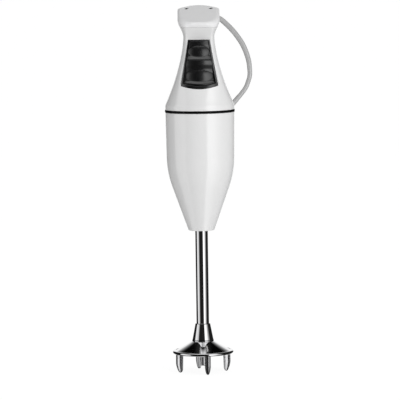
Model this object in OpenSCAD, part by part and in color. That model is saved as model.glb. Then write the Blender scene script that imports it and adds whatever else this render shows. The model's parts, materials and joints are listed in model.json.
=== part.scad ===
// Immersion blender: a stick mixer with a two-key handle, a sealed motor housing,
// a long chromed shaft tube and a four-pronged splash guard.
// Millimetres. Z runs up along the shaft, the keys face -Y.
// The origin lies on the shaft's axis where the taper sits in the ring of a wall bracket.

/* [Motor housing] */
// Radius of the housing at the seam, its widest place
body_r = 31.9; // [29:0.1:35]
// Wall of the housing, the cover and the cap
wall = 2.4; // [1.8:0.1:3]
// Radius of the housing's lower end
nose_r = 11.9; // [10.5:0.1:14]
// Half angle of the taper, in degrees
taper = 19.8; // [18:0.1:22]
// Radius of the round shoulder between the taper and the straight part
shoulder_r = 86; // [70:1:100]
// Draft of the straight part, in degrees
draft = 0.8; // [0.4:0.1:1.2]
// Height of the housing, from its nose to the seam
housing_h = 108.8; // [106:0.1:120]
// Radius at which the taper sits in a bracket's ring
seat_r = 17; // [15:0.1:20]
// Thickness of the seal ring in the seam
ring_t = 2.4; // [1.2:0.1:2.6]
// How far the seal ring stands out of the seam
ring_out = 0.25; // [0.1:0.05:0.6]

/* [Handle cover] */
// Height of the cover, from the seal ring to the cap's parting line
cover_h = 76.3; // [74:0.1:80]
// Height of the straight skirt above the seal ring
skirt_h = 4.6; // [3:0.1:7]
// Half width of the neck
neck_w = 14.4; // [13.4:0.1:16]
// Height of the neck above the seal ring
neck_at = 66; // [64:0.1:68]
// Depth of the neck in front of the axis, before the flat is cut
neck_front = 17.3; // [16.6:0.1:19]
// Depth of the neck behind the axis
neck_rear = 19; // [17:0.1:21]
// Half width of the head
head_w = 19.2; // [18:0.1:21]
// Depth of the head in front of the axis, before the flat is cut
head_front = 24; // [23:0.1:26]
// Depth of the head behind the axis
head_rear = 23; // [21:0.1:25]
// Height over which the neck flares out into the head
head_flare = 20; // [18:0.5:23]
// Squareness of the neck and head, where 2 is an ellipse
square = 3.2; // [2.8:0.1:3.6]
// Tilt of the flat that carries the keys, in degrees
key_tilt = 8; // [6:0.5:10]
// Depth of that flat at its lower end, in front of the axis
flat_depth = 20.3; // [19.5:0.1:21]
// Depth of the flat front of the head
brow_depth = 22.5; // [21.5:0.1:23.5]

/* [Head cap] */
// Height of the cap's front edge above the parting line
cap_front_h = 3.8; // [3.4:0.1:6]
// Slope of the cap's top face, falling to the front, in degrees
cap_slope = 20; // [15:0.5:24]
// Rounding between the top face and the sides
cap_round = 3; // [1.5:0.1:3.2]
// Distance of each cap screw from the middle
cap_screw_x = 11.3; // [9:0.1:12.5]
// Distance of the cap screws behind the axis
cap_screw_y = 13; // [10:0.1:15]
// Radius of the cap screws' heads
cap_screw_r = 1.9; // [1.5:0.1:2.3]

/* [Keys] */
// Width of the key panel along its top edge
panel_top_w = 19.7; // [18:0.1:21]
// Slope of the panel's sides from the vertical, in degrees
panel_flare = 9.7; // [8.5:0.1:10.5]
// Length of the key panel along the flat
panel_l = 45.6; // [44:0.1:47]
// Sag of the panel's curved lower edge
panel_sag = 3.5; // [2.5:0.1:4.5]
// Height of the panel's lower edge above the seal ring
panel_at = 19.9; // [18.5:0.1:20.5]
// Width of the frame around the keys
bezel_w = 1.5; // [1.2:0.1:2]
// How far the frame stands out of the flat
bezel_out = 0.9; // [0.5:0.1:1.4]
// Clearance around each key
key_gap = 0.3; // [0.2:0.05:0.5]
// Length of the panel that the upper key takes, from the gap between the keys up
key_up_l = 18.7; // [17.6:0.1:20.6]
// Height of the keys' ridges above the flat
key_out = 4.2; // [3.4:0.1:5]
// Travel of each key
key_travel = 1.6; // [1:0.1:2]
// Width of the upper finger pad
pad_up_w = 19; // [16:0.1:19.4]
// Width of the lower finger pad
pad_low_w = 26.6; // [22:0.1:27]
// Height of both finger pads, along the panel
pad_h = 9.8; // [8:0.1:11]
// How far both finger pads bulge out
pad_d = 1.9; // [1:0.1:2.4]

/* [Shaft tube] */
// Outer radius of the shaft tube
tube_r = 5.7; // [5.2:0.1:6.4]
// Wall of the shaft tube
tube_wall = 0.8; // [0.6:0.05:1.1]
// Free length of the tube, between the housing and the collar
tube_free = 86.6; // [70:0.1:110]
// Radius of the drive shaft in its bushes
shaft_r = 3; // [2.85:0.05:3.2]
// Radius of the drive shaft's free end, which a blade pushes onto
stub_r = 2.75; // [2.4:0.05:2.8]
// Running clearance of the drive shaft in its bushes, on the radius
run_gap = 0.05; // [0.03:0.01:0.08]
// Length of the drive shaft's free end below the guard's rim
stub_l = 11.6; // [9:0.1:13]

/* [Guard] */
// Height of the cone collar above the guard
collar_h = 16.4; // [14:0.1:20]
// Radius of the collar's top
collar_top_r = 6.6; // [6.5:0.05:7.4]
// Radius of the collar's foot
collar_foot_r = 9.6; // [8.8:0.1:10.6]
// Radius of the guard's rim
bell_r = 27.5; // [26:0.1:30]
// Height of the guard's cone
bell_h = 11.5; // [10:0.1:14]
// Thickness of the guard's sheet
bell_t = 1.4; // [1.1:0.1:1.8]
// Radius of the bead around the rim
bead_r = 1.1; // [0.9:0.05:1.4]
// Length of the prongs below the rim
prong_l = 17.5; // [15:0.1:21]
// Radius at the prongs' outer faces
prong_r = 25.2; // [24.4:0.1:25.3]
// Depth of a prong, measured towards the axis
prong_deep = 5.6; // [4.8:0.1:6.4]
// Width of a prong
prong_w = 3.6; // [3:0.1:4.4]
// Angle by which the four prongs are turned from the front, in degrees
prong_turn = 10.5; // [0:0.5:45]

/* [Motor] */
// Radius of the armature
arm_r = 12.9; // [12:0.1:13.4]
// Air gap around the armature
air_gap = 0.5; // [0.4:0.05:0.7]
// Height of the lamination stack
stack_h = 26; // [22:0.5:28]
// Height of the stack's lower face above the origin
stack_z = 44; // [43:0.5:46]
// Outer radius of the field stack
field_r = 25; // [24.5:0.1:25.4]
// Radius of the commutator
comm_r = 8.5; // [7.5:0.1:9]
// Radius of the armature shaft
arm_shaft_r = 3; // [2.6:0.1:3.4]
// Height of the lower bracket's underside above the origin
bracket_z = 31; // [30:0.5:31.5]
// Number of armature slots
slots = 12; // [10:2:14]
// Number of commutator bars
bars = 24; // [20:2:28]

/* [Cord] */
// Diameter of the mains cord
cord_d = 5.5; // [5:0.1:6]
// Height of the cord's exit above the parting line
exit_h = 9.8; // [9:0.1:10.5]
// Length of the strain relief outside the head
boot_l = 16; // [12:0.5:18]
// Radius of the strain relief at the head
boot_r = 5.2; // [4.8:0.1:5.6]

/* [Hidden] */
$fn = 72;
e = 0.01;

// ---- levels along the axis ----
z_nose = -(seat_r - nose_r) / tan(taper);
z_seam = z_nose + housing_h;
z_cover = z_seam + ring_t;
z_part = z_cover + cover_h;
z_collar = z_nose - tube_free;
z_bell = z_collar - collar_h;
z_rim = z_bell - bell_h;
z_tip = z_rim - prong_l;
z_stub = z_rim - stub_l;

// ---- housing profile ----
sh_r = shoulder_r * (cos(draft) - cos(taper));
sh_z = shoulder_r * (sin(taper) - sin(draft));
z_sh = (body_r - nose_r - sh_r + z_nose * tan(taper) - (z_seam - sh_z) * tan(draft))
  / (tan(taper) - tan(draft));
r_sh = nose_r + (z_sh - z_nose) * tan(taper);
function house_r(z) =
  z < z_sh ? nose_r + (z - z_nose) * tan(taper)
  : z < z_sh + sh_z
    ? r_sh + shoulder_r * (cos(asin(sin(taper) - (z - z_sh) / shoulder_r)) - cos(taper))
    : body_r - (z_seam - z) * tan(draft);
function inner_r(z) = house_r(z) - wall;
sh_steps = 12;
nose_edge = 1.2;
floor_z = z_nose + 7;
boss_r = tube_r + 3.1;
boss_z = z_nose + 16.2;
ledge_r = 21.5;
ledge_t = 2.4;
spigot_fit = 0.12;
spigot_o = body_r - wall - spigot_fit;
spigot_i = spigot_o - 1.6;
spigot_up = 4;
tube_fit = 0.03;

// ---- handle cover sections ----
function ss(t) = let (u = min(max(t, 0), 1)) u * u * (3 - 2 * u);
function flare(h) = let (u = min(max((h - skirt_h) / (neck_at + 2 - skirt_h), 0), 1)) pow(1 - u, 1.6);
function rise(h) = ss((h - neck_at) / head_flare);
function rise_w(h) = ss((h - neck_at - 1) / (head_flare - 4));
function sect_w(h) = neck_w + (body_r - neck_w) * flare(h) + (head_w - neck_w) * rise_w(h);
function sect_f(h) = neck_front + (body_r - neck_front) * flare(h) + (head_front - neck_front) * rise(h);
function sect_r(h) = neck_rear + (body_r - neck_rear) * flare(h) + (head_rear - neck_rear) * rise(h);
function sect_n(h) = 2 + (square - 2) * ss((h - skirt_h) / 35);
function flat_at(h) = flat_depth - (h - panel_at) * tan(key_tilt);
brow_at = neck_at;
function sect_p(h) =
  h < brow_at ? flat_at(h) : flat_at(brow_at) + (brow_depth - flat_at(brow_at)) * rise(h);

NF = 12; // steps across the flat front
NS = 36; // steps around the sides and the rear
NP = NF + NS;
panel_hw = panel_top_w / 2;
function panel_half(v) = panel_hw + (panel_l - v) * tan(panel_flare);
corner_x = panel_half(panel_sag);
function arc_up(x) = panel_sag * pow(min(abs(x), corner_x + 2.5) / corner_x, 2);
function spow(c, p) = c < 0 ? -pow(-c, p) : pow(c, p);

// one point of a section at height h, drawn in by ins; flat says whether the front is cut flat
function sect_pt(i, h, ins, flat) = let (
    n = sect_n(h), a = sect_w(h) - ins, f = sect_f(h) - ins, r = sect_r(h) - ins,
    p = min(sect_p(h) - ins, f * 0.985),
    tc = asin(pow(p / f, n / 2)),
    front = i < NF,
    t = front ? 180 + tc + (180 - 2 * tc) * i / NF : 360 - tc + (180 + 2 * tc) * (i - NF) / NS,
    xc = a * pow(cos(tc), 2 / n))
  front && flat ? [-xc + 2 * xc * i / NF, -p]
  : [a * spow(cos(t), 2 / n), (sin(t) < 0 ? f : r) * spow(sin(t), 2 / n)];
function ring_pt(i, h, ins, flat, warp) = let (
    q = sect_pt(i, h, ins, flat), hz = h + warp * arc_up(q[0]), w = sect_pt(i, hz, ins, flat))
  [w[0], w[1], z_cover + hz];
function ring(h, ins = 0, flat = false, warp = 0) = [for (i = [0:NP - 1]) ring_pt(i, h, ins, flat, warp)];

// side faces between ring k and ring k + 1, and the face that closes one ring
function band(k) = [for (i = [0:NP - 1]) let (j = (i + 1) % NP)
  each [[k * NP + i, (k + 1) * NP + i, (k + 1) * NP + j], [k * NP + i, (k + 1) * NP + j, k * NP + j]]];
REAR = NF + NS / 2; // the lids' fans start in the middle of the rear
function lid(k) = [for (i = [1:NP - 2]) [k * NP + REAR, k * NP + (REAR + i) % NP, k * NP + (REAR + i + 1) % NP]];
function lid_up(k) = [for (i = [1:NP - 2]) [k * NP + REAR, k * NP + (REAR + i + 1) % NP, k * NP + (REAR + i) % NP]];

edge_c = 0.3; // small chamfer at both ends of the cover
lip_h = 0.8; // height of the step below the flat
cover_rings = [
  ring(0, edge_c), ring(edge_c), ring(skirt_h), ring(skirt_h + 2.6), ring(skirt_h + 5.4),
  ring(panel_at - 6.5), ring(panel_at - 3.2, warp = 0.6), ring(panel_at - 0.5, warp = 1),
  ring(panel_at - 0.5 + lip_h, 0, true, 1), ring(panel_at + 2.5, 0, true, 0.9),
  ring(panel_at + 5.5, 0, true, 0.7), ring(panel_at + 8.5, 0, true, 0.45),
  ring(panel_at + 11.5, 0, true, 0.2), for (k = [0:8]) ring(panel_at + 15.5 + k * (neck_at - panel_at - 15.5) / 8, 0, true),
  for (k = [1:4]) ring(neck_at + k * (cover_h - edge_c - neck_at) / 4, 0, true),
  ring(cover_h, edge_c, true),
];
cover_inner = [
  ring(cover_h, wall, true), ring(neck_at + 5, wall, true), ring(neck_at, wall, true),
  ring(neck_at - 10, wall, true), ring(neck_at - 20, wall, true), ring(neck_at - 30, wall, true),
  ring(panel_at + 7, wall, true), ring(panel_at - 2.5, wall, true), ring(panel_at - 7, wall),
  ring(skirt_h + 4, wall), ring(skirt_h, wall), ring(0, wall),
];

// the cap's sloping top face
cap_h = cover_h + cap_front_h;
function top_h(y) = cap_h + (y + brow_depth) * tan(cap_slope);
function cap_pt(i, ins, drop, mix) = let (
    y0 = sect_pt(i, cover_h + 6, ins, true)[1],
    h0 = cover_h + edge_c + (top_h(y0) - drop - cover_h - edge_c) * mix,
    q = sect_pt(i, h0, ins, true),
    h1 = cover_h + edge_c + (top_h(q[1]) - drop - cover_h - edge_c) * mix,
    w = sect_pt(i, h1, ins, true))
  [w[0], w[1], z_cover + cover_h + edge_c + (top_h(w[1]) - drop - cover_h - edge_c) * mix];
function cap_ring(ins, drop, mix = 1) = [for (i = [0:NP - 1]) cap_pt(i, ins, drop, mix)];
round_steps = 5;
cap_outer = [
  ring(cover_h, edge_c, true), ring(cover_h + edge_c, 0, true),
  cap_ring(0, cap_round, 0.5), cap_ring(0, cap_round, 0.8),
  for (k = [0:round_steps]) let (a = 90 * k / round_steps) cap_ring(cap_round * (1 - cos(a)), cap_round * (1 - sin(a))),
];
cap_cavity = [
  [for (q = ring(cover_h, wall, true)) [q[0], q[1], z_part]],
  [for (q = cap_ring(wall, wall + 0.6)) [q[0], q[1], max(q[2], z_part + 0.6)]],
];

// ---- key panel ----
module on_panel() translate([0, -flat_depth, z_cover + panel_at]) rotate([90 - key_tilt, 0, 0]) children();
function panel_edge(ins) = let (
    side = ins / cos(panel_flare),
    xe = panel_half(panel_sag + ins) - side)
  concat([[-(panel_half(panel_l - ins) - side), panel_l - ins], [-xe, ins + panel_sag]],
    [for (k = [-5:5]) let (x = xe * k / 6) [x, ins + panel_sag * pow(x / xe, 2)]],
    [[xe, ins + panel_sag], [panel_half(panel_l - ins) - side, panel_l - ins]]);
bezel_in = wall + 1; // how far the frame reaches in behind the flat
key_in = bezel_in + 0.3 + key_travel; // underside of the keys' flanges
board_w = 15; // depth of the board's face behind the flat
board_t = 1.6;
leg_t = 1.2; // legs of the frame that hold the board
spring_r = 2.4;
spring_wire = 0.35;
// places along the panel: the gap between the keys, and what lies behind each key
key_split = panel_l - key_up_l;
pad_up_v = panel_l - 11;
pad_low_v = key_split - 14.7;
spring_up_v = key_split + 5.1;
spring_low_v = bezel_w + key_gap + 8.2;
switch_up_v = panel_l - 5.4;
switch_low_v = key_split - 6.6;
plunger_gap = 0.3;
plunger_h = 1.4;
switch_w = 12.8;
switch_d = 5.2;
leg_in = 0.25; // how far the frame's lower leg stands in from the panel's end
// a point given across the panel, along it and out of it, in the model's own frame
function panel_pt(x, v, w) = [x, -flat_depth + v * sin(key_tilt) - w * cos(key_tilt),
  z_cover + panel_at + v * cos(key_tilt) + w * sin(key_tilt)];
module slab(pts, x) rotate([90, 0, 90]) translate([0, 0, -x]) linear_extrude(2 * x) polygon(pts);
// an oval cushioned pad, a slice of a ring of round section
module pad(v, w, width) intersection() {
  rt = (pad_h * pad_h / 4 + pad_d * pad_d) / (2 * pad_d);
  ro = (width * width / 4 + pad_d * pad_d) / (2 * pad_d);
  translate([0, v, w + pad_d - ro]) rotate([90, 0, 0])
    rotate_extrude() translate([ro - rt, 0]) circle(rt);
  translate([-width / 2, v - pad_h / 2, w - 0.3]) cube([width, pad_h, pad_d + 1]);
}
module key(lo, hi, pts) {
  intersection() {
    translate([0, 0, -key_in]) linear_extrude(key_in + 8) polygon(panel_edge(bezel_w + key_gap));
    slab(pts, 30);
  }
  // retaining flange behind the frame
  difference() {
    translate([0, 0, -key_in]) intersection() {
      linear_extrude(key_travel) polygon(panel_edge(bezel_w + key_gap - 0.9));
      translate([-30, lo, 0]) cube([60, hi - lo, 5]);
    }
  }
}

// ---- drive train levels ----
nut_z = boss_z + 0.3;
nut_h = 4.2;
tube_top = nut_z + nut_h + 0.4;
coup_z = tube_top + 2.2;
coup_r = 8;
coup_disc = 4.5;
coup_claw = 4.5;
coup_top = coup_z + 2 * coup_disc + coup_claw;
arm_shaft_z0 = coup_z + coup_disc + coup_claw;
bear_z = bracket_z - 3.5;
bracket_t = 3.5;
bear_l = 8;
bear_r = arm_shaft_r + 2.2;
hub_r = bear_r + 2;
coil_over = 6;
comm_z = stack_z + stack_h + 9;
comm_h = 12;
brush_z = comm_z + comm_h / 2;
upper_z = comm_z + comm_h - 1;
upper_t = 3.5;
screw_r = 1.5;
screw_x = field_r - 2.2;
yoke_r = field_r - 4.4;
pole_r = arm_r + air_gap;
shoe_r = pole_r + 2.8;
arm_shaft_z1 = upper_z + bear_l + 1.5;

// ---- cord ----
exit_z = z_part + exit_h;
exit_y = sect_r(cover_h + exit_h);
flange_t = 1.6; // flange of the strain relief, inside the cap
flange_y = exit_y - wall - 0.6 - flange_t;
boot_end = exit_y + boot_l;
cord_r = cord_d / 2;
clamp_t = 5;
clamp_hw = cord_r + 4.25;
clamp_y = sect_r(cover_h) - wall - 1.2 - clamp_t;
lead_r = 0.9;
hank_y = body_r + ring_out + 4; // front face of the hank
hank_turns = 5;
hank_fold = 6 * cord_d;
hank_run = 60;
hank_z = 65;
hank_w = hank_fold + cord_d;
hank_t = hank_turns * cord_d;
cord_pts = [
  [0, boot_end, exit_z], [1.5, 46.5, exit_z + 0.2], [6.5, 53, 182.8], [13, 57, 181.3], [20, 57.5, 178.6],
  [26, 57, 173.4], [31, 56, 167.8], [35.5, 55, 162], [39.5, 54, 156], [42.5, 53, 150], [44.5, 52, 145],
  [46, 51, 139], [46.5, 50, 132.5], [46.5, 49, 126], [45, 48, 120.5], [42.5, 46.5, 115], [38.5, 45, 109.5],
  [34, 43.5, 104], [29.5, 42.3, 98.5], [24.5, 41, 91.5], [20, 39.6, 84], [18, 39.2, 80],
];
plug_x = 12;
tail_pts = [
  [-16, hank_y + hank_t - 1, 88], [-15.5, hank_y + hank_t + 2.5, 98], [-11.5, hank_y + hank_t + 5.5, 107],
  [-3, hank_y + hank_t + 7, 112], [6, hank_y + hank_t + 7.3, 109], [11, hank_y + hank_t + 7.3, 100],
  [plug_x, hank_y + hank_t + 7.3, 91], [plug_x, hank_y + hank_t + 7.3, 84],
];
plug_y = hank_y + hank_t + 7.3;
plug_z = 81;
tie_w = 9;
tie_t = 1.2;
plug_l = 36;
plug_w = 35.4;
plug_t = 13.6;
pin_r = 2;
pin_l = 19;
pin_gap = 18.6;

function unit(v) = v / norm(v);
function spline(P, i, t) = let (
    a = P[max(i - 1, 0)], b = P[i], c = P[i + 1], d = P[min(i + 2, len(P) - 1)])
  0.5 * (2 * b + (c - a) * t + (2 * a - 5 * b + 4 * c - d) * t * t + (3 * b - a - 3 * c + d) * t * t * t);
function path(P, m) = [for (i = [0:len(P) - 2]) for (k = [0:m - 1]) spline(P, i, k / m), P[len(P) - 1]];
function tangents(Q) = [for (i = [0:len(Q) - 1]) unit(Q[min(i + 1, len(Q) - 1)] - Q[max(i - 1, 0)])];
function normals(T, n0) = [for (i = 0, n = unit(n0 - (n0 * T[0]) * T[0]); i < len(T);
  i = i + 1, n = i < len(T) ? unit(n - (n * T[i]) * T[i]) : n) n];
// a round tube swept along a list of points
module sweep(Q, r, sides, n0 = [0, 0, 1]) {
  T = tangents(Q);
  N = normals(T, n0);
  m = len(Q);
  polyhedron(
    [for (i = [0:m - 1]) let (b = cross(T[i], N[i])) for (k = [0:sides - 1])
      Q[i] + r * (cos(360 * k / sides) * N[i] + sin(360 * k / sides) * b)],
    concat(
      [for (i = [0:m - 2]) for (k = [0:sides - 1]) let (l = (k + 1) % sides)
        each [[i * sides + k, (i + 1) * sides + k, (i + 1) * sides + l], [i * sides + k, (i + 1) * sides + l, i * sides + l]]],
      [[for (k = [0:sides - 1]) k]], [[for (k = [sides - 1:-1:0]) (m - 1) * sides + k]]),
    convexity = 6);
}
module tube(ro, ri, h) difference() { cylinder(r = ro, h = h); translate([0, 0, -1]) cylinder(r = ri, h = h + 2); }

// ==== housing ====
module motor_housing() color("whitesmoke") rotate_extrude($fn = 120) polygon(concat(
  [[tube_r + tube_fit, z_nose], [nose_r - nose_edge, z_nose], [nose_r - 0.35, z_nose + 0.35],
   [house_r(z_nose + nose_edge), z_nose + nose_edge], [house_r(0), 0]],
  [for (k = [0:sh_steps]) let (z = z_sh + sh_z * k / sh_steps) [house_r(z), z]],
  [[body_r, z_seam], [spigot_o, z_seam], [spigot_o, z_seam + ring_t + spigot_up],
   [spigot_i, z_seam + ring_t + spigot_up], [spigot_i, z_seam - 6], [inner_r(z_seam - 8), z_seam - 8]],
  [for (k = [sh_steps:-1:0]) let (z = z_sh + sh_z * k / sh_steps) if (z > bracket_z + 1) [inner_r(z), z]],
  [[inner_r(bracket_z), bracket_z], [ledge_r, bracket_z], [ledge_r, bracket_z - ledge_t],
   [inner_r(bracket_z - ledge_t - 1), bracket_z - ledge_t - 1], [inner_r(floor_z), floor_z],
   [boss_r, floor_z], [boss_r, boss_z], [tube_r + tube_fit, boss_z]]));

module seal_ring() color([0.06, 0.06, 0.06]) rotate_extrude($fn = 120) polygon([
  [spigot_o, z_seam], [body_r + ring_out - 0.2, z_seam], [body_r + ring_out, z_seam + 0.25],
  [body_r + ring_out, z_cover - 0.25], [body_r + ring_out - 0.2, z_cover], [spigot_o, z_cover]]);

// ==== handle cover and cap ====
module handle_shell() color("whitesmoke") difference() {
  polyhedron([for (r = concat(cover_rings, cover_inner)) each r],
    concat([for (k = [0:len(cover_rings) + len(cover_inner) - 2]) each band(k)],
      [for (i = [0:NP - 1]) let (j = (i + 1) % NP, m = (len(cover_rings) + len(cover_inner) - 1) * NP)
        each [[m + i, i, j], [m + i, j, m + j]]]), convexity = 10);
  on_panel() translate([0, 0, -12]) linear_extrude(30) polygon(panel_edge(-0.05));
}

module head_cap() color([0.9, 0.9, 0.9]) difference() {
  polyhedron([for (r = cap_outer) each r],
    concat([for (k = [0:len(cap_outer) - 2]) each band(k)], lid_up(len(cap_outer) - 1), lid(0)), convexity = 10);
  translate([0, 0, -e]) polyhedron([for (r = cap_cavity) each r],
    concat(band(0), lid_up(1), lid(0)), convexity = 6);
  // cord outlet, and the seat of the strain relief's flange
  translate([0, exit_y - 12, exit_z]) rotate([-90, 0, 0]) cylinder(r = boot_r, h = 30);
  translate([0, flange_y - 0.15, exit_z]) rotate([-90, 0, 0]) cylinder(r = boot_r + 1.1, h = flange_t + 0.2);
  for (s = [-1, 1]) cap_screw_place(s) {
    translate([0, 0, -1.7]) cylinder(r = cap_screw_r + 0.2, h = 10);
    translate([0, 0, -12]) cylinder(r = 1.1, h = 14);
  }
}
module cap_screw_place(s) translate([s * cap_screw_x, cap_screw_y, z_cover + top_h(cap_screw_y)])
  rotate([cap_slope, 0, 0]) children();

module cap_screws() color([0.35, 0.35, 0.36]) for (s = [-1, 1]) cap_screw_place(s) difference() {
  union() {
    translate([0, 0, -1.7]) cylinder(r = cap_screw_r, h = 1.2);
    translate([0, 0, -9]) cylinder(r = 1.05, h = 7.6);
  }
  translate([0, 0, -1.1]) { cube([2.2, 0.5, 1.4], center = true); cube([0.5, 2.2, 1.4], center = true); }
}

module strain_relief() color([0.85, 0.85, 0.85]) translate([0, exit_y, exit_z]) rotate([-90, 0, 0])
  rotate_extrude() polygon(concat(
    [[0, flange_y - exit_y], [boot_r + 1, flange_y - exit_y], [boot_r + 1, flange_y + flange_t - exit_y],
     [boot_r, flange_y + flange_t - exit_y], [boot_r, 0.4], [boot_r + 0.6, 0.4], [boot_r + 0.6, 1.6]],
    [for (k = [0:5]) let (z = 2 + k * (boot_l - 3) / 6, r = boot_r - (boot_r - cord_r - 0.8) * z / boot_l, d = (boot_l - 3) / 12)
      each [[r - 0.55, z], [r - 0.55, z + d * 0.8], [r, z + d], [r, z + 1.7 * d]]],
    [[cord_r + 0.6, boot_l - 1], [cord_r + 0.6, boot_l], [0, boot_l]]));

module cord_clamp() color([0.2, 0.2, 0.22]) translate([0, clamp_y, exit_z]) difference() {
  translate([-clamp_hw, 0, -cord_r - 2.4]) cube([2 * clamp_hw, clamp_t, 2 * cord_r + 3]);
  rotate([-90, 0, 0]) translate([0, 0, -1]) cylinder(r = cord_r, h = clamp_t + 2);
}
lead_in = clamp_y - 2;
module inner_cord() color([0.88, 0.88, 0.88]) translate([0, flange_y, exit_z]) rotate([90, 0, 0])
  cylinder(r = cord_r, h = flange_y - lead_in);
board_back = board_w + board_t;
module inner_leads() color([0.25, 0.3, 0.5]) for (s = [-1, 1]) {
  // from the cord to the board's back
  sweep(path([for (d = [0, 0.8, 1.6]) [s * 1.3, lead_in - d, exit_z], [s * 2, lead_in - 5, exit_z - 2],
    [s * 4, 4.4, exit_z - 11], panel_pt(s * 4.5, panel_l - 3, -board_back - 3.2),
    panel_pt(s * 4.5, panel_l - 8, -board_back - 2.8),
    for (d = [1.6, 0.8, 0]) panel_pt(s * 4.5, panel_l - 9.4, -board_back - d)], 3), lead_r, 6, [1, 0, 0]);
  // from the capacitor to the brush holders
  sweep(path([for (d = [0, 0.8, 1.6]) panel_pt(s * 6, cap_v - d, -board_back - cap_d / 2),
    [s * 8.5, -s * 7 - 1, z_cover + 13], [s * 8.6, -s * 14, upper_z + 10],
    [s * 8.6, -s * 17, upper_z], [s * 7, -s * 17, upper_z - 3.6], [s * 4.9, -s * 17, upper_z - 4.4],
    [s * 3.4, -s * 17, upper_z - 4.4]], 3), lead_r, 6, [1, 0, 0]);
}

// ==== keys and switches ====
// the frame's lower rim, which follows the taper of the cover below it
lip_rings = [for (h = [-3:3:12]) ring(panel_at + h, 0.15)];
module bezel_lip() intersection() {
  rotate([key_tilt - 90, 0, 0]) translate([0, flat_depth, -z_cover - panel_at])
    polyhedron([for (r = lip_rings) each r],
      concat(lid(0), [for (k = [0:len(lip_rings) - 2]) each band(k)], lid_up(len(lip_rings) - 1)));
  linear_extrude(9) difference() {
    polygon(panel_edge(0));
    translate([0, bezel_w + 1]) polygon(panel_edge(-1));
    polygon(panel_edge(bezel_w));
  }
}
module switch_bezel() color([0.09, 0.09, 0.09]) on_panel() {
  difference() {
    union() {
      translate([0, 0, -bezel_in]) linear_extrude(bezel_in + bezel_out - 0.4) polygon(panel_edge(0));
      translate([0, 0, bezel_out - 0.4 - e]) linear_extrude(0.4 + e) polygon(panel_edge(0.4));
    }
    translate([0, 0, -bezel_in - 1]) linear_extrude(20) polygon(panel_edge(bezel_w));
  }
  bezel_lip();
  // two legs that hold the board by its ends
  translate([-4, leg_in, -board_w - board_t]) cube([8, leg_t, board_w + board_t - bezel_in + e]);
  translate([-6, panel_l - 0.1 - leg_t, -board_w - board_t]) cube([12, leg_t, board_w + board_t - bezel_in + e]);
}

key_low_lo = bezel_w + key_gap;
key_low_hi = key_split - key_gap;
key_up_lo = key_split + key_gap;
key_up_hi = panel_l - bezel_w - key_gap;
module key_lower() color([0.12, 0.12, 0.12]) on_panel() {
  difference() {
    key(key_low_lo, key_low_hi, [
      [key_low_lo - 2, -key_in], [key_low_hi, -key_in], [key_low_hi, key_out - 0.4],
      [key_low_hi - 0.5, key_out], [key_low_hi - 3.6, key_out - 0.3], [key_low_hi - 7.6, key_out - 1.6],
      [pad_low_v - pad_h / 2 - 0.4, key_out - 1.6], [key_low_lo + 3, key_out - 0.2],
      [key_low_lo + 1, key_out], [key_low_lo, key_out - 0.3], [key_low_lo - 2, key_out - 1]]);
    hollow(key_low_lo + 3.4, key_low_hi);
  }
  pad(pad_low_v, key_out - 1.6, pad_low_w);
}
module key_upper() color([0.12, 0.12, 0.12]) on_panel() {
  difference() {
    key(key_up_lo, key_up_hi, [
      [key_up_lo, -key_in], [key_up_hi + 1, -key_in], [key_up_hi + 1, key_out - 2.9],
      [key_up_hi - 1.2, key_out - 2.2], [pad_up_v + pad_h / 2 + 0.4, key_out - 2],
      [pad_up_v - pad_h / 2 - 0.4, key_out - 2], [key_up_lo + 1.6, key_out - 0.2],
      [key_up_lo + 0.5, key_out], [key_up_lo, key_out - 0.4]]);
    hollow(key_up_lo, key_up_hi);
  }
  pad(pad_up_v, key_out - 2, pad_up_w);
}
// the keys are open behind, with the spring's pocket and the presser for the switch
module hollow(lo, hi) difference() {
  translate([-30, lo + 1.4, -key_in - 1]) intersection() {
    cube([60, hi - lo - 2.8, key_in - 0.4]);
    translate([30, -lo - 1.4, 0]) linear_extrude(20) polygon(panel_edge(bezel_w + key_gap + 1.4));
  }
  for (v = [switch_up_v, switch_low_v]) translate([-2, v - 1.5, -key_in - 2]) cube([4, 3, 20]);
}

module coil_spring(v, z0, z1) color([0.7, 0.7, 0.72]) on_panel() translate([0, v, 0]) {
  turns = 4;
  per = 10;
  sweep([for (k = [0:turns * per]) let (a = 360 * k / per)
    [spring_r * cos(a), spring_r * sin(a), z0 + (z1 - z0) * k / (turns * per)]], spring_wire, 6, [1, 0, 0]);
}
module key_spring_upper() coil_spring(spring_up_v, -board_w + 0.5, -1.9);
module key_spring_lower() coil_spring(spring_low_v, -board_w + 0.5, -1.9);

module switch_board() color([0.12, 0.36, 0.2]) on_panel() translate([0, 0, -board_w - board_t])
  linear_extrude(board_t) polygon([[-11, leg_in + leg_t], [11, leg_in + leg_t],
    [7.2, panel_l - 0.1 - leg_t], [-7.2, panel_l - 0.1 - leg_t]]);
module microswitch(v) color([0.16, 0.16, 0.17]) on_panel() translate([0, v, -board_w]) {
  body_h = board_w - key_in - key_travel - plunger_gap - plunger_h;
  translate([-switch_w / 2, -switch_d / 2, 0]) cube([switch_w, switch_d, body_h]);
  translate([-1, -1, body_h - e]) cube([2, 2, plunger_h + e]);
}
module microswitch_upper() microswitch(switch_up_v);
module microswitch_lower() microswitch(switch_low_v);

cap_v = 5; // place, width, length and depth of the suppression capacitor on the board's back
cap_w = 16;
cap_l = 9;
cap_d = 8.5;
module suppression_capacitor() color([0.75, 0.6, 0.15]) on_panel()
  translate([-cap_w / 2, cap_v, -board_w - board_t - cap_d]) cube([cap_w, cap_l, cap_d]);

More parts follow.
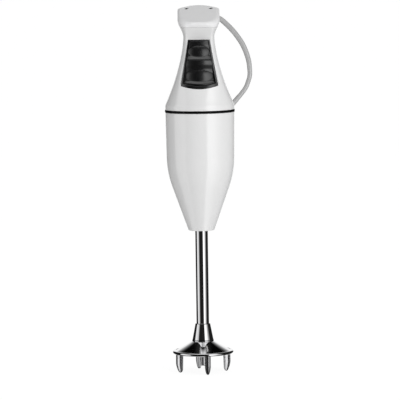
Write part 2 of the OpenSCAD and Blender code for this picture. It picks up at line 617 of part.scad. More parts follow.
// ==== motor ====
module sector(ri, ro, half, h) intersection() {
  tube(ro, ri, h);
  linear_extrude(h) polygon([[0, 0], for (k = [-4:4]) let (a = 90 + half * k / 4) 2 * ro * [cos(a), sin(a)]]);
}
module field_stack() color([0.45, 0.46, 0.48]) translate([0, 0, stack_z]) difference() {
  intersection() {
    cylinder(r = field_r, h = stack_h);
    translate([-field_r, -field_r + 2.5, 0]) cube([2 * field_r, 2 * field_r - 5, stack_h]);
  }
  translate([0, 0, -1]) cylinder(r = pole_r, h = stack_h + 2);
  translate([0, 0, -1]) difference() {
    cylinder(r = yoke_r, h = stack_h + 2);
    for (s = [0, 180]) rotate(s) {
      translate([-7, 0, -1]) cube([14, yoke_r + 1, stack_h + 4]);
      translate([0, 0, -1]) sector(pole_r - 1, shoe_r, 58, stack_h + 4);
    }
  }
  for (s = [-1, 1]) translate([s * screw_x, 0, -1]) cylinder(r = screw_r + 0.15, h = stack_h + 2);
}
module field_coils() color([0.72, 0.36, 0.16]) for (s = [0, 180]) rotate(s) translate([0, 0, stack_z]) difference() {
  translate([0, 0, -coil_over]) sector(shoe_r + 0.3, yoke_r - 0.3, 60, stack_h + 2 * coil_over);
  translate([-7.3, 0, -0.3]) cube([14.6, yoke_r + 2, stack_h + 0.6]);
}
module bracket_bar(z, t, reach) translate([0, 0, z]) intersection() {
  cylinder(r = reach, h = t);
  union() {
    translate([-reach, -5, 0]) cube([2 * reach, 10, t]);
    translate([-6, -reach, 0]) cube([12, 2 * reach, t]);
    cylinder(r = hub_r + 2.4, h = t);
  }
}
lower_reach = inner_r(bracket_z) - 0.1;
module lower_bracket() color([0.7, 0.7, 0.72]) difference() {
  union() {
    bracket_bar(bracket_z, bracket_t, lower_reach);
    translate([0, 0, bear_z]) cylinder(r = hub_r, h = bear_l + 1);
    for (s = [-1, 1]) translate([s * screw_x, 0, bracket_z + bracket_t - e]) cylinder(r = 2.4, h = stack_z - bracket_z - bracket_t + e);
  }
  translate([0, 0, bear_z - 1]) cylinder(r = bear_r, h = bear_l + 4);
  for (s = [-1, 1]) translate([s * screw_x, 0, bracket_z + 0.8]) cylinder(r = screw_r, h = 40);
}
module upper_bracket() color([0.7, 0.7, 0.72]) difference() {
  union() {
    bracket_bar(upper_z, upper_t, field_r + 0.4);
    translate([0, 0, upper_z]) cylinder(r = hub_r, h = bear_l);
    for (s = [-1, 1]) translate([s * screw_x, 0, stack_z + stack_h]) cylinder(r = 2.4, h = upper_z - stack_z - stack_h + e);
  }
  translate([0, 0, upper_z - 1]) cylinder(r = bear_r, h = bear_l + 4);
  for (s = [-1, 1]) translate([s * screw_x, 0, 40]) cylinder(r = screw_r + 0.15, h = 80);
}
module motor_screws() color([0.6, 0.6, 0.62]) for (s = [-1, 1]) translate([s * screw_x, 0, 0]) difference() {
  union() {
    translate([0, 0, bracket_z + 1]) cylinder(r = screw_r, h = upper_z + upper_t - bracket_z - 1 + e);
    translate([0, 0, upper_z + upper_t]) cylinder(r = 2.3, h = 2);
  }
  translate([0, 0, upper_z + upper_t + 1.6]) cube([3.4, 0.7, 1.4], center = true);
}
module upper_bearing() color([0.72, 0.53, 0.26]) translate([0, 0, upper_z]) tube(bear_r, arm_shaft_r + run_gap, bear_l);
module lower_bearing() color([0.72, 0.53, 0.26]) translate([0, 0, bear_z]) tube(bear_r, arm_shaft_r + run_gap, bear_l);
brush_in = comm_r + 1.2;
brush_out = field_r - 1.5;
module brush_holders() color([0.78, 0.62, 0.3]) for (s = [0, 180]) rotate(s) difference() {
  translate([-3.4, brush_in, upper_z - 8.4]) cube([6.8, brush_out - brush_in, 8.4]);
  translate([-2.4, brush_in - 1, upper_z - 7.4]) cube([4.8, brush_out - brush_in, 6]);
}
module carbon_brushes() color([0.15, 0.15, 0.16]) for (s = [0, 180]) rotate(s) difference() {
  translate([-2.3, comm_r - 1, upper_z - 7.3]) cube([4.6, 8, 5.8]);
  translate([0, 0, upper_z - 10]) cylinder(r = comm_r + 0.15, h = 12);
}
module armature_shaft() color([0.75, 0.75, 0.77]) difference() {
  translate([0, 0, arm_shaft_z0]) cylinder(r = arm_shaft_r, h = arm_shaft_z1 - arm_shaft_z0);
}
module armature_core() color([0.5, 0.5, 0.52]) translate([0, 0, stack_z]) difference() {
  cylinder(r = arm_r, h = stack_h);
  translate([0, 0, -1]) cylinder(r = arm_shaft_r, h = stack_h + 2);
  for (k = [0:slots - 1]) rotate(360 * k / slots) {
    translate([arm_r - 3.4, 0, -1]) cylinder(r = 1.3, h = stack_h + 2, $fn = 24);
    translate([arm_r - 3.4, -0.5, -1]) cube([6, 1, stack_h + 2]);
  }
}
module armature_winding() color([0.66, 0.3, 0.12]) {
  rotate_extrude() polygon([
    [arm_shaft_r, stack_z - 5.4], [arm_r - 5, stack_z - 5.4], [arm_r - 1.6, stack_z - 3.4], [arm_r - 1.2, stack_z],
    [arm_shaft_r, stack_z]]);
  rotate_extrude() polygon([
    [arm_shaft_r, stack_z + stack_h], [arm_r - 1.2, stack_z + stack_h], [arm_r - 1.8, stack_z + stack_h + 3.6],
    [comm_r - 0.6, comm_z - 0.4], [comm_r - 0.6, comm_z], [arm_shaft_r, comm_z]]);
}
module commutator() color([0.8, 0.47, 0.26]) translate([0, 0, comm_z]) difference() {
  union() { cylinder(r = comm_r, h = comm_h - 2.5); cylinder(r = comm_r + 0.9, h = 1.6); }
  translate([0, 0, -1]) cylinder(r = arm_shaft_r, h = comm_h + 2);
  for (k = [0:bars - 1]) rotate(360 * (k + 0.5) / bars) translate([comm_r - 0.7, -0.2, -1]) cube([3, 0.4, comm_h + 2]);
}

// ==== coupling and shaft ====
claw_half = 32; // half angle of a claw
claw_in = shaft_r + 0.6;
module claws(z, turn) for (s = [0, 180]) rotate(s + turn) translate([0, 0, z]) sector(claw_in, coup_r, claw_half, coup_claw);
module coupling_lower() color([0.62, 0.62, 0.64]) difference() {
  union() { translate([0, 0, coup_z]) cylinder(r = coup_r, h = coup_disc); claws(coup_z + coup_disc - e, 0); }
  translate([0, 0, coup_z - 1]) cylinder(r = shaft_r, h = coup_disc + 1.5 + 1);
}
module coupling_upper() color([0.62, 0.62, 0.64]) difference() {
  union() { translate([0, 0, coup_z + coup_disc + coup_claw]) cylinder(r = coup_r, h = coup_disc); claws(coup_z + coup_disc + e, 90); }
  translate([0, 0, arm_shaft_z0]) cylinder(r = arm_shaft_r, h = 20);
}
module coupling_spider() color([0.1, 0.1, 0.1]) translate([0, 0, coup_z + coup_disc + 0.1]) {
  cylinder(r = claw_in - 0.2, h = coup_claw - 0.2);
  for (k = [0:3]) rotate(45 + 90 * k) sector(1, coup_r - 0.2, 44 - claw_half, coup_claw - 0.2);
}
groove_z = z_stub + 1.8;
groove_h = 0.9;
shoulder_z = z_rim + 4.5;
pin_z = shoulder_z + 1.2;
module drive_shaft() color([0.78, 0.78, 0.8]) difference() {
  union() {
    translate([0, 0, shoulder_z]) cylinder(r = shaft_r, h = coup_z + coup_disc - shoulder_z);
    translate([0, 0, z_stub + 0.5]) cylinder(r = stub_r, h = shoulder_z - z_stub - 0.5 + e);
    translate([0, 0, z_stub]) cylinder(r1 = stub_r - 0.5, r2 = stub_r, h = 0.5 + e);
  }
  translate([0, 0, groove_z]) tube(stub_r + 2, stub_r - 0.45, groove_h);
}
module drive_cross_pin() color([0.7, 0.7, 0.72]) rotate(35) translate([-shaft_r - 1.7, 0, pin_z]) rotate([0, 90, 0])
  difference() { cylinder(r = 0.95, h = 2 * shaft_r + 3.4, $fn = 32); translate([0, 0, 1.7]) cylinder(r = 2, h = 2 * shaft_r); }
tube_z0 = z_bell + 2.2;
module shaft_tube() color([0.8, 0.8, 0.82]) translate([0, 0, tube_z0]) tube(tube_r, tube_r - tube_wall, tube_top - tube_z0);
module tube_nut() color([0.6, 0.6, 0.62]) translate([0, 0, nut_z]) difference() {
  cylinder(r = boss_r + 0.4, h = nut_h, $fn = 6);
  translate([0, 0, -1]) cylinder(r = tube_r + tube_fit, h = nut_h + 2);
}
module bush(z, h) color([0.72, 0.53, 0.26]) translate([0, 0, z]) tube(tube_r - tube_wall - 0.02, shaft_r + run_gap, h);
module tube_bush_upper() bush(tube_top - 14, 13);
module tube_bush_lower() bush(tube_z0 + 0.5, 16);

// ==== guard ====
module guard_collar() color([0.8, 0.8, 0.82]) rotate_extrude() polygon([
  [shaft_r + 2.4, z_bell], [collar_foot_r - 0.5, z_bell], [collar_foot_r, z_bell + 0.4], [collar_foot_r, z_bell + 0.9],
  [collar_foot_r - 0.35, z_bell + 1.4],
  [collar_top_r + 0.15, z_collar - 0.9], [collar_top_r, z_collar - 0.4], [collar_top_r - 0.4, z_collar],
  [tube_r + tube_fit, z_collar], [tube_r + tube_fit, tube_z0 - 0.1], [shaft_r + 2.4, tube_z0 - 0.1]]);
seal_h = 3;
module shaft_seal() color([0.12, 0.12, 0.12]) rotate_extrude() polygon([
  [shaft_r + run_gap, z_bell - 3.4], [shaft_r + 2.4, z_bell - 3.4], [shaft_r + 2.4, tube_z0 - 0.2],
  [shaft_r + 0.9, tube_z0 - 0.2], [shaft_r + 0.9, z_bell - 2.4], [shaft_r + run_gap, z_bell - 2.4]]);
module guard_bell() color([0.8, 0.8, 0.82]) rotate_extrude($fn = 120) {
  polygon([
    [shaft_r + 2.4, z_bell - 3.6], [collar_foot_r - 1.4, z_bell - 3.6], [collar_foot_r - 0.6, z_bell - 0.4 - bell_t],
    [collar_foot_r + 0.3, z_bell - 0.3 - bell_t],
    [bell_r - bead_r, z_rim + bead_r - bell_t * 0.5], [bell_r - bead_r, z_rim + bead_r + bell_t * 0.5],
    [collar_foot_r + 0.3, z_bell - 0.3], [collar_foot_r - 0.4, z_bell], [shaft_r + 2.4, z_bell]]);
  translate([bell_r - bead_r, z_rim + bead_r]) circle(bead_r, $fn = 28);
}
cone_k = (z_bell - 0.3 - bell_t - z_rim - bead_r + bell_t / 2) / (bell_r - bead_r - collar_foot_r - 0.3);
function under_z(r) = z_rim + bead_r - bell_t / 2 + (bell_r - bead_r - r) * cone_k;
prong_in = prong_r - prong_deep;
module prong(a) color([0.8, 0.8, 0.82]) rotate(a) difference() {
  intersection() {
    // seen from the side: the outer edge curves in to a blunt point
    rotate([90, 0, 90]) translate([0, 0, -prong_w / 2]) linear_extrude(prong_w) polygon([
      [-prong_r, z_bell], [-prong_r, z_tip + prong_l * 0.46], [-prong_r + 0.3, z_tip + prong_l * 0.3],
      [-prong_r + 0.9, z_tip + prong_l * 0.17], [-prong_r + 1.8, z_tip + prong_l * 0.07], [-prong_r + 2.6, z_tip + 0.3],
      [-prong_r + 3.2, z_tip], [-prong_r + 4, z_tip + 0.3], [-prong_r + 4.7, z_tip + 1.3], [-prong_r + 5, z_tip + 2.6],
      [-prong_in, z_rim], [-prong_in, z_bell]]);
    // seen from the front: parallel sides that close in over the tip
    translate([0, -prong_in + 1, 0]) rotate([90, 0, 0]) linear_extrude(prong_deep + 3) polygon([
      [-prong_w / 2, z_bell], [-prong_w / 2, z_tip + 3.6], [-prong_w * 0.4, z_tip + 1.7], [-prong_w * 0.24, z_tip + 0.4], [-prong_w * 0.08, z_tip],
      [prong_w * 0.08, z_tip], [prong_w * 0.24, z_tip + 0.4], [prong_w * 0.4, z_tip + 1.7], [prong_w / 2, z_tip + 3.6], [prong_w / 2, z_bell]]);
    // rounded outer face
    translate([0, -prong_r + prong_deep * 0.6, z_tip - 1]) cylinder(r = prong_deep * 0.6, h = prong_l + bell_h + 2);
  }
  // the top meets the underside of the guard's cone
  rotate_extrude() polygon([[prong_in - 4, under_z(prong_in - 4)], [prong_r + 4, under_z(prong_r + 4)], [prong_r + 4, z_bell + 5],
    [prong_in - 4, z_bell + 5]]);
  // shallow flutes along both side faces
  for (s = [-1, 1]) translate([s * (prong_w / 2 + 1.6), -prong_r + prong_deep * 0.6, z_tip + 2.8])
    cylinder(r = 2, h = prong_l + bell_h, $fn = 32);
}
module guard_prong_front() prong(prong_turn);
module guard_prong_right() prong(prong_turn + 90);
module guard_prong_rear() prong(prong_turn + 180);
module guard_prong_left() prong(prong_turn + 270);

// ==== mains cord ====
module power_cord() color([0.88, 0.88, 0.88]) sweep(path(cord_pts, 2), cord_r, 10);
module stadium(r, run) {
  translate([-r, -run / 2]) square([2 * r, run]);
  for (s = [-1, 1]) translate([0, s * run / 2]) circle(r);
}
module cord_hank() color([0.88, 0.88, 0.88]) translate([0, hank_y + hank_t, hank_z]) rotate([90, 0, 0])
  linear_extrude(hank_t) difference() {
    stadium(hank_w / 2, hank_run);
    stadium(hank_w / 2 - cord_d, hank_run);
  }
module hank_tie() color([0.1, 0.1, 0.1]) translate([-hank_w / 2, hank_y, hank_z - 30 - tie_w / 2]) difference() {
  translate([-tie_t, -tie_t, 0]) cube([hank_w + 2 * tie_t, hank_t + 2 * tie_t, tie_w]);
  translate([0, 0, -1]) cube([hank_w, hank_t, tie_w + 2]);
}
module cord_tail() color([0.88, 0.88, 0.88]) sweep(path(tail_pts, 3), cord_r, 10, [1, 0, 0]);
module plug_body() color([0.85, 0.85, 0.85]) translate([plug_x, plug_y, plug_z]) {
  rotate([90, 0, 0]) translate([0, 0, -plug_t / 2]) linear_extrude(plug_t) polygon([
    [-plug_w / 2, -plug_l + 1.5], [-plug_w / 2 + 1.5, -plug_l], [plug_w / 2 - 1.5, -plug_l], [plug_w / 2, -plug_l + 1.5],
    [plug_w / 2, -plug_l + 12], [11, -12], [5.5, -5], [-5.5, -5], [-11, -12], [-plug_w / 2, -plug_l + 12]]);
  translate([0, 0, -6]) cylinder(r1 = 4.6, r2 = cord_r + 0.7, h = 9);
}
module plug_pins() color([0.8, 0.8, 0.82]) for (s = [-1, 1]) translate([plug_x + s * pin_gap / 2, plug_y, plug_z - plug_l - pin_l]) {
  translate([0, 0, 0.8]) cylinder(r = pin_r, h = pin_l - 0.8);
  cylinder(r1 = pin_r - 0.8, r2 = pin_r, h = 0.8 + e);
}

motor_housing();
seal_ring();
handle_shell();
head_cap();
cap_screws();
switch_bezel();
key_upper();
key_lower();
key_spring_upper();
key_spring_lower();
switch_board();
microswitch_upper();
microswitch_lower();
suppression_capacitor();
strain_relief();
cord_clamp();
inner_cord();
inner_leads();
field_stack();
field_coils();
upper_bracket();
lower_bracket();
motor_screws();
upper_bearing();
lower_bearing();
brush_holders();
carbon_brushes();
armature_shaft();
armature_core();
armature_winding();
commutator();
coupling_upper();
coupling_spider();
coupling_lower();
drive_shaft();
drive_cross_pin();
shaft_tube();
tube_nut();
tube_bush_upper();
tube_bush_lower();
shaft_seal();
guard_collar();
guard_bell();
guard_prong_front();
guard_prong_right();
guard_prong_rear();
guard_prong_left();
power_cord();
cord_hank();
hank_tie();
cord_tail();
plug_body();
plug_pins();
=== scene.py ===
"""Looks of a stick mixer with two keys, a chromed shaft and a pronged guard.

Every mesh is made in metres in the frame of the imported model: +Z runs up along the shaft and the keys
face -Y. Sizes inside the classes are in millimetres and are turned to metres where a mesh is made.
"""

from __future__ import annotations

import json
import logging
import math
from dataclasses import dataclass, field
from enum import Enum
from typing import Sequence

import bmesh
import bpy
import numpy as np
from bpy.types import Mesh, Node, NodeSocket, Object
from mathutils import Matrix, Vector

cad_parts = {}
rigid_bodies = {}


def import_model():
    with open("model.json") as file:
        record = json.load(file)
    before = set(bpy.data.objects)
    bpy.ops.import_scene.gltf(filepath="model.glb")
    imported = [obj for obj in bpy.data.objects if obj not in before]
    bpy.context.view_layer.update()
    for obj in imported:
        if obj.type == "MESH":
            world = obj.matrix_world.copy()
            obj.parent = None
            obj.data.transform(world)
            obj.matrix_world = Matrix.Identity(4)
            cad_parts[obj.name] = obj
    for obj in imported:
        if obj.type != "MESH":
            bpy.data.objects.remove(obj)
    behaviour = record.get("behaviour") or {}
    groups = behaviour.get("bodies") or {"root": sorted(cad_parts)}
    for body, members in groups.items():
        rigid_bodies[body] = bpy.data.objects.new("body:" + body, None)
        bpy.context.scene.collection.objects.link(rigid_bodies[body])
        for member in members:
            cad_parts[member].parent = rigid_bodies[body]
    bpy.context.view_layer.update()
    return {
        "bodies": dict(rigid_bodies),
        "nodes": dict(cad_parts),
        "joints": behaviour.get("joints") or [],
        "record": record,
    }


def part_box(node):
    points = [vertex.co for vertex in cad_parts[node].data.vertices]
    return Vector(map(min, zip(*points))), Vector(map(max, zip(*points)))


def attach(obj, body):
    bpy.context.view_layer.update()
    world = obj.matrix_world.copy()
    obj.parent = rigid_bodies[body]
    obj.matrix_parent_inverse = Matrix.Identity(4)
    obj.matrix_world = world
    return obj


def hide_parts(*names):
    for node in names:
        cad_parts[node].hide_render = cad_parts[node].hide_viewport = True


LOG = logging.getLogger("stick_mixer")
MM = 0.001
WHITE = (1.0, 1.0, 1.0, 1.0)
Array = np.ndarray
Point = tuple[float, float]
Spot = tuple[float, float, float]


class Body(Enum):
    """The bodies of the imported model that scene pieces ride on."""

    HOUSING = "housing"
    UPPER_KEY = "upper_key"
    LOWER_KEY = "lower_key"


# ---------------------------------------------------------------- nodes


class NodeBuilder:
    """A node tree that is built step by step."""

    def __init__(self, group: bpy.types.NodeTree, prefix: str = "ShaderNode") -> None:
        """Take up a tree, and the prefix that the types of its nodes start with."""
        self.group = group
        self.prefix = prefix

    def put(self, node: Node, **sockets: object) -> Node:
        """Set or link a node's inputs.

        Args:
            node: The node.
            sockets: Values or sockets by input, with _ for a space in its name, or i and its number.

        Returns:
            The node.
        """
        for key, value in sockets.items():
            numbered = key[0] == "i" and key[1:].isdigit()
            socket = node.inputs[int(key[1:]) if numbered else key.replace("_", " ")]
            if isinstance(value, NodeSocket):
                self.group.links.new(value, socket)
            else:
                socket.default_value = value
        return node

    def add(self, kind: str, settings: dict[str, object] | None = None, **sockets: object) -> Node:
        """Add a node.

        Args:
            kind: The node's type, without the tree's own prefix.
            settings: Its settings.
            sockets: Its inputs, as in put.

        Returns:
            The node.
        """
        node = self.group.nodes.new(kind if kind.startswith("ShaderNode") else self.prefix + kind)
        for key, value in (settings or {}).items():
            setattr(node, key, value)
        return self.put(node, **sockets)

    def math(self, operation: str, a: object, b: object = 0.0) -> NodeSocket:
        """Return a calculation of two numbers."""
        return self.add("ShaderNodeMath", {"operation": operation}, i0=a, i1=b).outputs[0]

    def vector(self, x: object = 0.0, y: object = 0.0, z: object = 0.0) -> NodeSocket:
        """Return a vector of three numbers."""
        return self.add("ShaderNodeCombineXYZ", X=x, Y=y, Z=z).outputs[0]


# ---------------------------------------------------------------- finishes


@dataclass(frozen=True)
class Finish:
    """A surface finish whose colour, gloss and fine relief vary a little over the piece.

    The grain runs on Object coordinates, so it stays on the piece. Sizes of the grain are in metres.
    """

    name: str
    colour: Spot
    roughness: float = 0.4
    metallic: float = 0.0
    specular: float = 0.5
    coat: float = 0.0
    coat_roughness: float = 0.08
    mottle: float = 0.02
    mottle_size: float = 0.012
    gloss_spread: float = 0.04
    relief: float = 0.03
    relief_size: float = 0.0008
    stretch: Spot = (1.0, 1.0, 1.0)

    def material(self) -> bpy.types.Material:
        """Return the finish's material, made on the first call.

        Returns:
            The material.
        """
        own_name = self.name + "_finish"
        found = bpy.data.materials.get(own_name)
        if found is not None:
            return found
        mat = bpy.data.materials.new(own_name)
        mat.use_nodes = True
        nodes = NodeBuilder(mat.node_tree)
        shader = nodes.put(
            mat.node_tree.nodes["Principled BSDF"], Base_Color=(*self.colour, 1.0), Metallic=self.metallic,
            Specular_IOR_Level=self.specular, Coat_Weight=self.coat, Coat_Roughness=self.coat_roughness,
        )
        where = nodes.add("TexCoord").outputs["Object"]
        place = nodes.add("Mapping", Vector=where, Scale=self.stretch).outputs["Vector"]
        self._dress(nodes, shader, place)
        return mat

    def _dress(self, nodes: NodeBuilder, shader: Node, place: NodeSocket) -> None:
        """Vary the colour, the roughness and the relief over the piece.

        Args:
            nodes: The material's tree.
            shader: Its shader.
            place: The coordinates, stretched along the grain.
        """
        smoothest, finer, depth = 0.02, 0.4, 0.2
        low = max(self.roughness - self.gloss_spread, smoothest)
        gloss = self._noise(nodes, place, self.mottle_size * finer)
        rough = self._spread(nodes, gloss, low, self.roughness + self.gloss_spread)
        height = self._noise(nodes, place, self.relief_size, 4.0)
        bump = nodes.add("Bump", Strength=self.relief, Distance=self.relief_size * depth, Height=height)
        colour = self._colour(nodes, place)
        nodes.put(shader, Base_Color=colour, Roughness=rough, Normal=bump.outputs["Normal"])

    def _noise(self, nodes: NodeBuilder, place: NodeSocket, size: float, detail: float = 3.0) -> NodeSocket:
        """Return a noise of a grain size in metres, from 0 to 1."""
        return nodes.add("TexNoise", Scale=1.0 / size, Detail=detail, Vector=place).outputs["Fac"]

    def _spread(self, nodes: NodeBuilder, value: NodeSocket, low: float, high: float) -> NodeSocket:
        """Map a value from the noise's middle range to low and high."""
        ends = {"From_Min": 0.3, "From_Max": 0.7, "To_Min": low, "To_Max": high}
        return nodes.add("MapRange", Value=value, **ends).outputs["Result"]

    def _colour(self, nodes: NodeBuilder, place: NodeSocket) -> NodeSocket:
        """Return the colour, mottled a little over the piece.

        Args:
            nodes: The material's tree.
            place: The coordinates.

        Returns:
            The colour's socket.
        """
        shift = self._spread(nodes, self._noise(nodes, place, self.mottle_size), 1.0 - self.mottle, 1.0)
        tint = nodes.add("VectorMath", {"operation": "SCALE"}, i0=self.colour, Scale=shift)
        return tint.outputs["Vector"]


@dataclass(frozen=True)
class StripedFinish(Finish):
    """A finish crossed by fine parallel lines, as on sheet stacks, windings and woven ties."""

    line_colour: Spot = (0.1, 0.1, 0.1)
    pitch: float = 0.0007
    axis: int = 2
    share: float = 0.35

    def _colour(self, nodes: NodeBuilder, place: NodeSocket) -> NodeSocket:
        """Return the colour, crossed with lines.

        Args:
            nodes: The material's tree.
            place: The coordinates.

        Returns:
            The colour's socket.
        """
        along = nodes.add("SeparateXYZ", Vector=place).outputs[self.axis]
        step = nodes.math("PINGPONG", along, self.pitch / 2)
        ramp = nodes.add("MapRange", Value=step, From_Max=self.pitch / 2 * self.share).outputs["Result"]
        ends = {"A": (*self.line_colour, 1.0), "B": (*self.colour, 1.0)}
        return nodes.add("Mix", {"data_type": "RGBA"}, Factor=ramp, **ends).outputs["Result"]


WHITE_PLASTIC = Finish(
    "white_plastic", (0.87, 0.87, 0.87), roughness=0.11, specular=1.0, mottle=0.012, gloss_spread=0.02,
    relief=0.008, relief_size=0.0009,
)
GREY_PLASTIC = Finish(
    "grey_plastic", (0.895, 0.895, 0.9), roughness=0.34, mottle=0.015, relief=0.05, relief_size=0.0006,
)
BLACK_PLASTIC = Finish(
    "black_plastic", (0.006, 0.006, 0.0065), roughness=0.34, specular=1.0, coat=0.7, coat_roughness=0.22,
    mottle=0.3, relief=0.05, relief_size=0.0005,
)
SEAL_RUBBER = Finish(
    "seal_rubber", (0.004, 0.004, 0.004), roughness=0.55, specular=0.15, mottle=0.3, relief=0.1,
    relief_size=0.0004,
)
CHROME = Finish(
    "chrome", (0.86, 0.86, 0.87), roughness=0.045, metallic=1.0, mottle=0.03, gloss_spread=0.02,
    relief=0.0015, relief_size=0.0012, stretch=(1.0, 1.0, 0.12),
)
PRONG_STEEL = Finish(
    "prong_steel", (0.68, 0.68, 0.69), roughness=0.31, metallic=1.0, mottle=0.06, gloss_spread=0.05,
    relief=0.01, stretch=(1.0, 1.0, 0.3),
)
STEEL = Finish(
    "bright_steel", (0.62, 0.62, 0.63), roughness=0.22, metallic=1.0, mottle=0.12, gloss_spread=0.06,
    relief=0.08, relief_size=0.0003, stretch=(0.2, 0.2, 1.0),
)
SCREW_STEEL = Finish(
    "screw_steel", (0.42, 0.42, 0.43), roughness=0.3, metallic=1.0, mottle=0.2, relief=0.1,
)
NICKEL = Finish("plug_nickel", (0.72, 0.7, 0.64), roughness=0.14, metallic=1.0, mottle=0.06)
CORD_PVC = Finish(
    "cord_pvc", (0.5, 0.5, 0.5), roughness=0.3, specular=0.8, coat=0.6, coat_roughness=0.15, mottle=0.03,
    relief=0.08, relief_size=0.0007,
)
PLUG_PLASTIC = Finish(
    "plug_plastic", (0.74, 0.74, 0.735), roughness=0.45, mottle=0.03, relief=0.12, relief_size=0.0005,
)
TIE_WEAVE = StripedFinish(
    "tie_weave", (0.03, 0.03, 0.032), roughness=0.7, mottle=0.2, relief=0.3, relief_size=0.0004,
    line_colour=(0.008, 0.008, 0.008), pitch=0.0009, share=0.6,
)
LAMINATION = StripedFinish(
    "lamination", (0.34, 0.35, 0.37), roughness=0.45, metallic=0.9, mottle=0.15,
    line_colour=(0.06, 0.06, 0.065), pitch=0.0005,
)
WINDING = StripedFinish(
    "enamelled_copper", (0.48, 0.17, 0.045), roughness=0.3, metallic=0.8, coat=0.5, mottle=0.25,
    line_colour=(0.1, 0.03, 0.01), pitch=0.0006, axis=0,
)
COPPER = Finish("commutator_copper", (0.78, 0.36, 0.18), roughness=0.25, metallic=1.0, mottle=0.15)
BRASS = Finish("brass_sheet", (0.72, 0.5, 0.19), roughness=0.28, metallic=1.0, mottle=0.12)
BRONZE = Finish(
    "sintered_bronze", (0.5, 0.31, 0.13), roughness=0.5, metallic=0.9, mottle=0.2, relief=0.3,
)
CAST_ALLOY = Finish(
    "cast_alloy", (0.52, 0.52, 0.54), roughness=0.5, metallic=0.9, mottle=0.15, relief=0.35,
)
CARBON = Finish("pressed_carbon", (0.03, 0.03, 0.034), roughness=0.55, mottle=0.3, relief=0.2)
BOARD = Finish("circuit_board", (0.03, 0.16, 0.06), roughness=0.35, mottle=0.25, coat=0.4)
YELLOW_FILM = Finish("yellow_film", (0.7, 0.5, 0.05), roughness=0.35, mottle=0.08)
WIRE = Finish("wire_sleeve", (0.05, 0.1, 0.35), roughness=0.45, mottle=0.1)


# ---------------------------------------------------------------- meshes


def smoothstep(t: Array | float) -> Array | float:
    """Rise from 0 to 1 with flat ends."""
    u = np.clip(t, 0.0, 1.0)
    return u * u * (3.0 - 2.0 * u)


def smooth_min(a: Array, b: Array, k: float) -> Array:
    """Return the lower of two values, rounded over about k where they cross."""
    low, high = np.minimum(a, b), np.maximum(a, b)
    return low - k * np.log1p(np.exp(-(high - low) / k))


def oval(theta: Array, side: Array | float, deep: Array | float, power: Array | float) -> Array:
    """Radius, in a direction, of an ellipse whose exponent is a power, with its two half widths."""
    across, along = np.abs(np.cos(theta)) / side, np.abs(np.sin(theta)) / deep
    return (across**power + along**power) ** (-1 / power)


def linked(thing: Object) -> Object:
    """Link an object to the scene and return it."""
    bpy.context.scene.collection.objects.link(thing)
    return thing


def new_piece(name: str, finish: Finish, body: Body, mesh: Mesh) -> Object:
    """Link a mesh as a piece that rides on a body.

    Args:
        name: The piece's name.
        finish: Its finish.
        body: The body that it moves with.
        mesh: Its mesh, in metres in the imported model's frame.

    Returns:
        The object.
    """
    piece = linked(bpy.data.objects.new(name, mesh))
    mesh.materials.clear()
    mesh.materials.append(finish.material())
    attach(piece, body.value)
    LOG.info("%s: %d faces, finish %s", name, len(mesh.polygons), finish.name)
    return piece


def finished(mesh: Mesh, smooth_angle: float) -> Mesh:
    """Merge doubles, drop empty faces, turn the faces outwards and mark the sharp edges.

    Args:
        mesh: The mesh, which is changed.
        smooth_angle: The angle between faces, in degrees, past which an edge is sharp.

    Returns:
        The same mesh.
    """
    double, empty = 1e-6, 1e-7
    work = bmesh.new()
    work.from_mesh(mesh)
    bmesh.ops.remove_doubles(work, verts=work.verts, dist=double)
    bmesh.ops.dissolve_degenerate(work, edges=work.edges, dist=empty)
    bmesh.ops.recalc_face_normals(work, faces=work.faces)
    limit = math.radians(smooth_angle)
    for face in work.faces:
        face.smooth = True
    for edge in work.edges:
        edge.smooth = len(edge.link_faces) == 2 and edge.calc_face_angle(0.0) < limit
    work.to_mesh(mesh)
    work.free()
    return mesh


def mesh_of(name: str, points: Sequence, faces: Sequence, smooth_angle: float = 35.0) -> Mesh:
    """Make a finished mesh from points in millimetres.

    Args:
        name: The mesh's name.
        points: Its points.
        faces: Its faces, as lists of point numbers.
        smooth_angle: The angle between faces, in degrees, past which an edge is sharp.

    Returns:
        The mesh, in metres.
    """
    mesh = bpy.data.meshes.new(name)
    mesh.from_pydata([tuple(float(c) * MM for c in p) for p in points], [], [tuple(f) for f in faces])
    return finished(mesh, smooth_angle)


def grid_faces(rows: int, columns: int, close_rows: bool = True, close_columns: bool = True) -> list[tuple]:
    """List the quads of a grid of points, row by row.

    Args:
        rows: The number of rows.
        columns: The number of points in a row.
        close_rows: Whether the last row joins the first.
        close_columns: Whether each row is closed.

    Returns:
        The faces.
    """
    last_row = rows if close_rows else rows - 1
    last_column = columns if close_columns else columns - 1
    faces = []
    for i in range(last_row):
        here, above = i * columns, (i + 1) % rows * columns
        for j in range(last_column):
            after = (j + 1) % columns
            faces.append((here + j, here + after, above + after, above + j))
    return faces


def stacked_faces(rows: int, columns: int) -> list[tuple]:
    """List the faces of closed rings, one on the other, with a lid at both ends."""
    lids = [tuple(range(columns - 1, -1, -1)), tuple(range(columns * (rows - 1), columns * rows))]
    return grid_faces(rows, columns, False) + lids


def lathe(name: str, profile: Sequence[Point], steps: int = 144) -> Mesh:
    """Turn a closed outline of (radius, height) about the shaft's axis.

    Args:
        name: The mesh's name.
        profile: The closed outline. Points on the axis may be in it.
        steps: The number of steps round the axis.

    Returns:
        The mesh.
    """
    turns = 2 * math.pi * np.arange(steps) / steps
    points = [(r * math.cos(a), r * math.sin(a), z) for r, z in profile for a in turns]
    return mesh_of(name, points, grid_faces(len(profile), steps))


def arc(centre: Point, radius: float, start: float, end: float, steps: int) -> list[Point]:
    """List points along an arc, with its angles in degrees."""
    angles = np.radians(np.linspace(start, end, steps + 1))
    return [(centre[0] + radius * math.cos(a), centre[1] + radius * math.sin(a)) for a in angles]


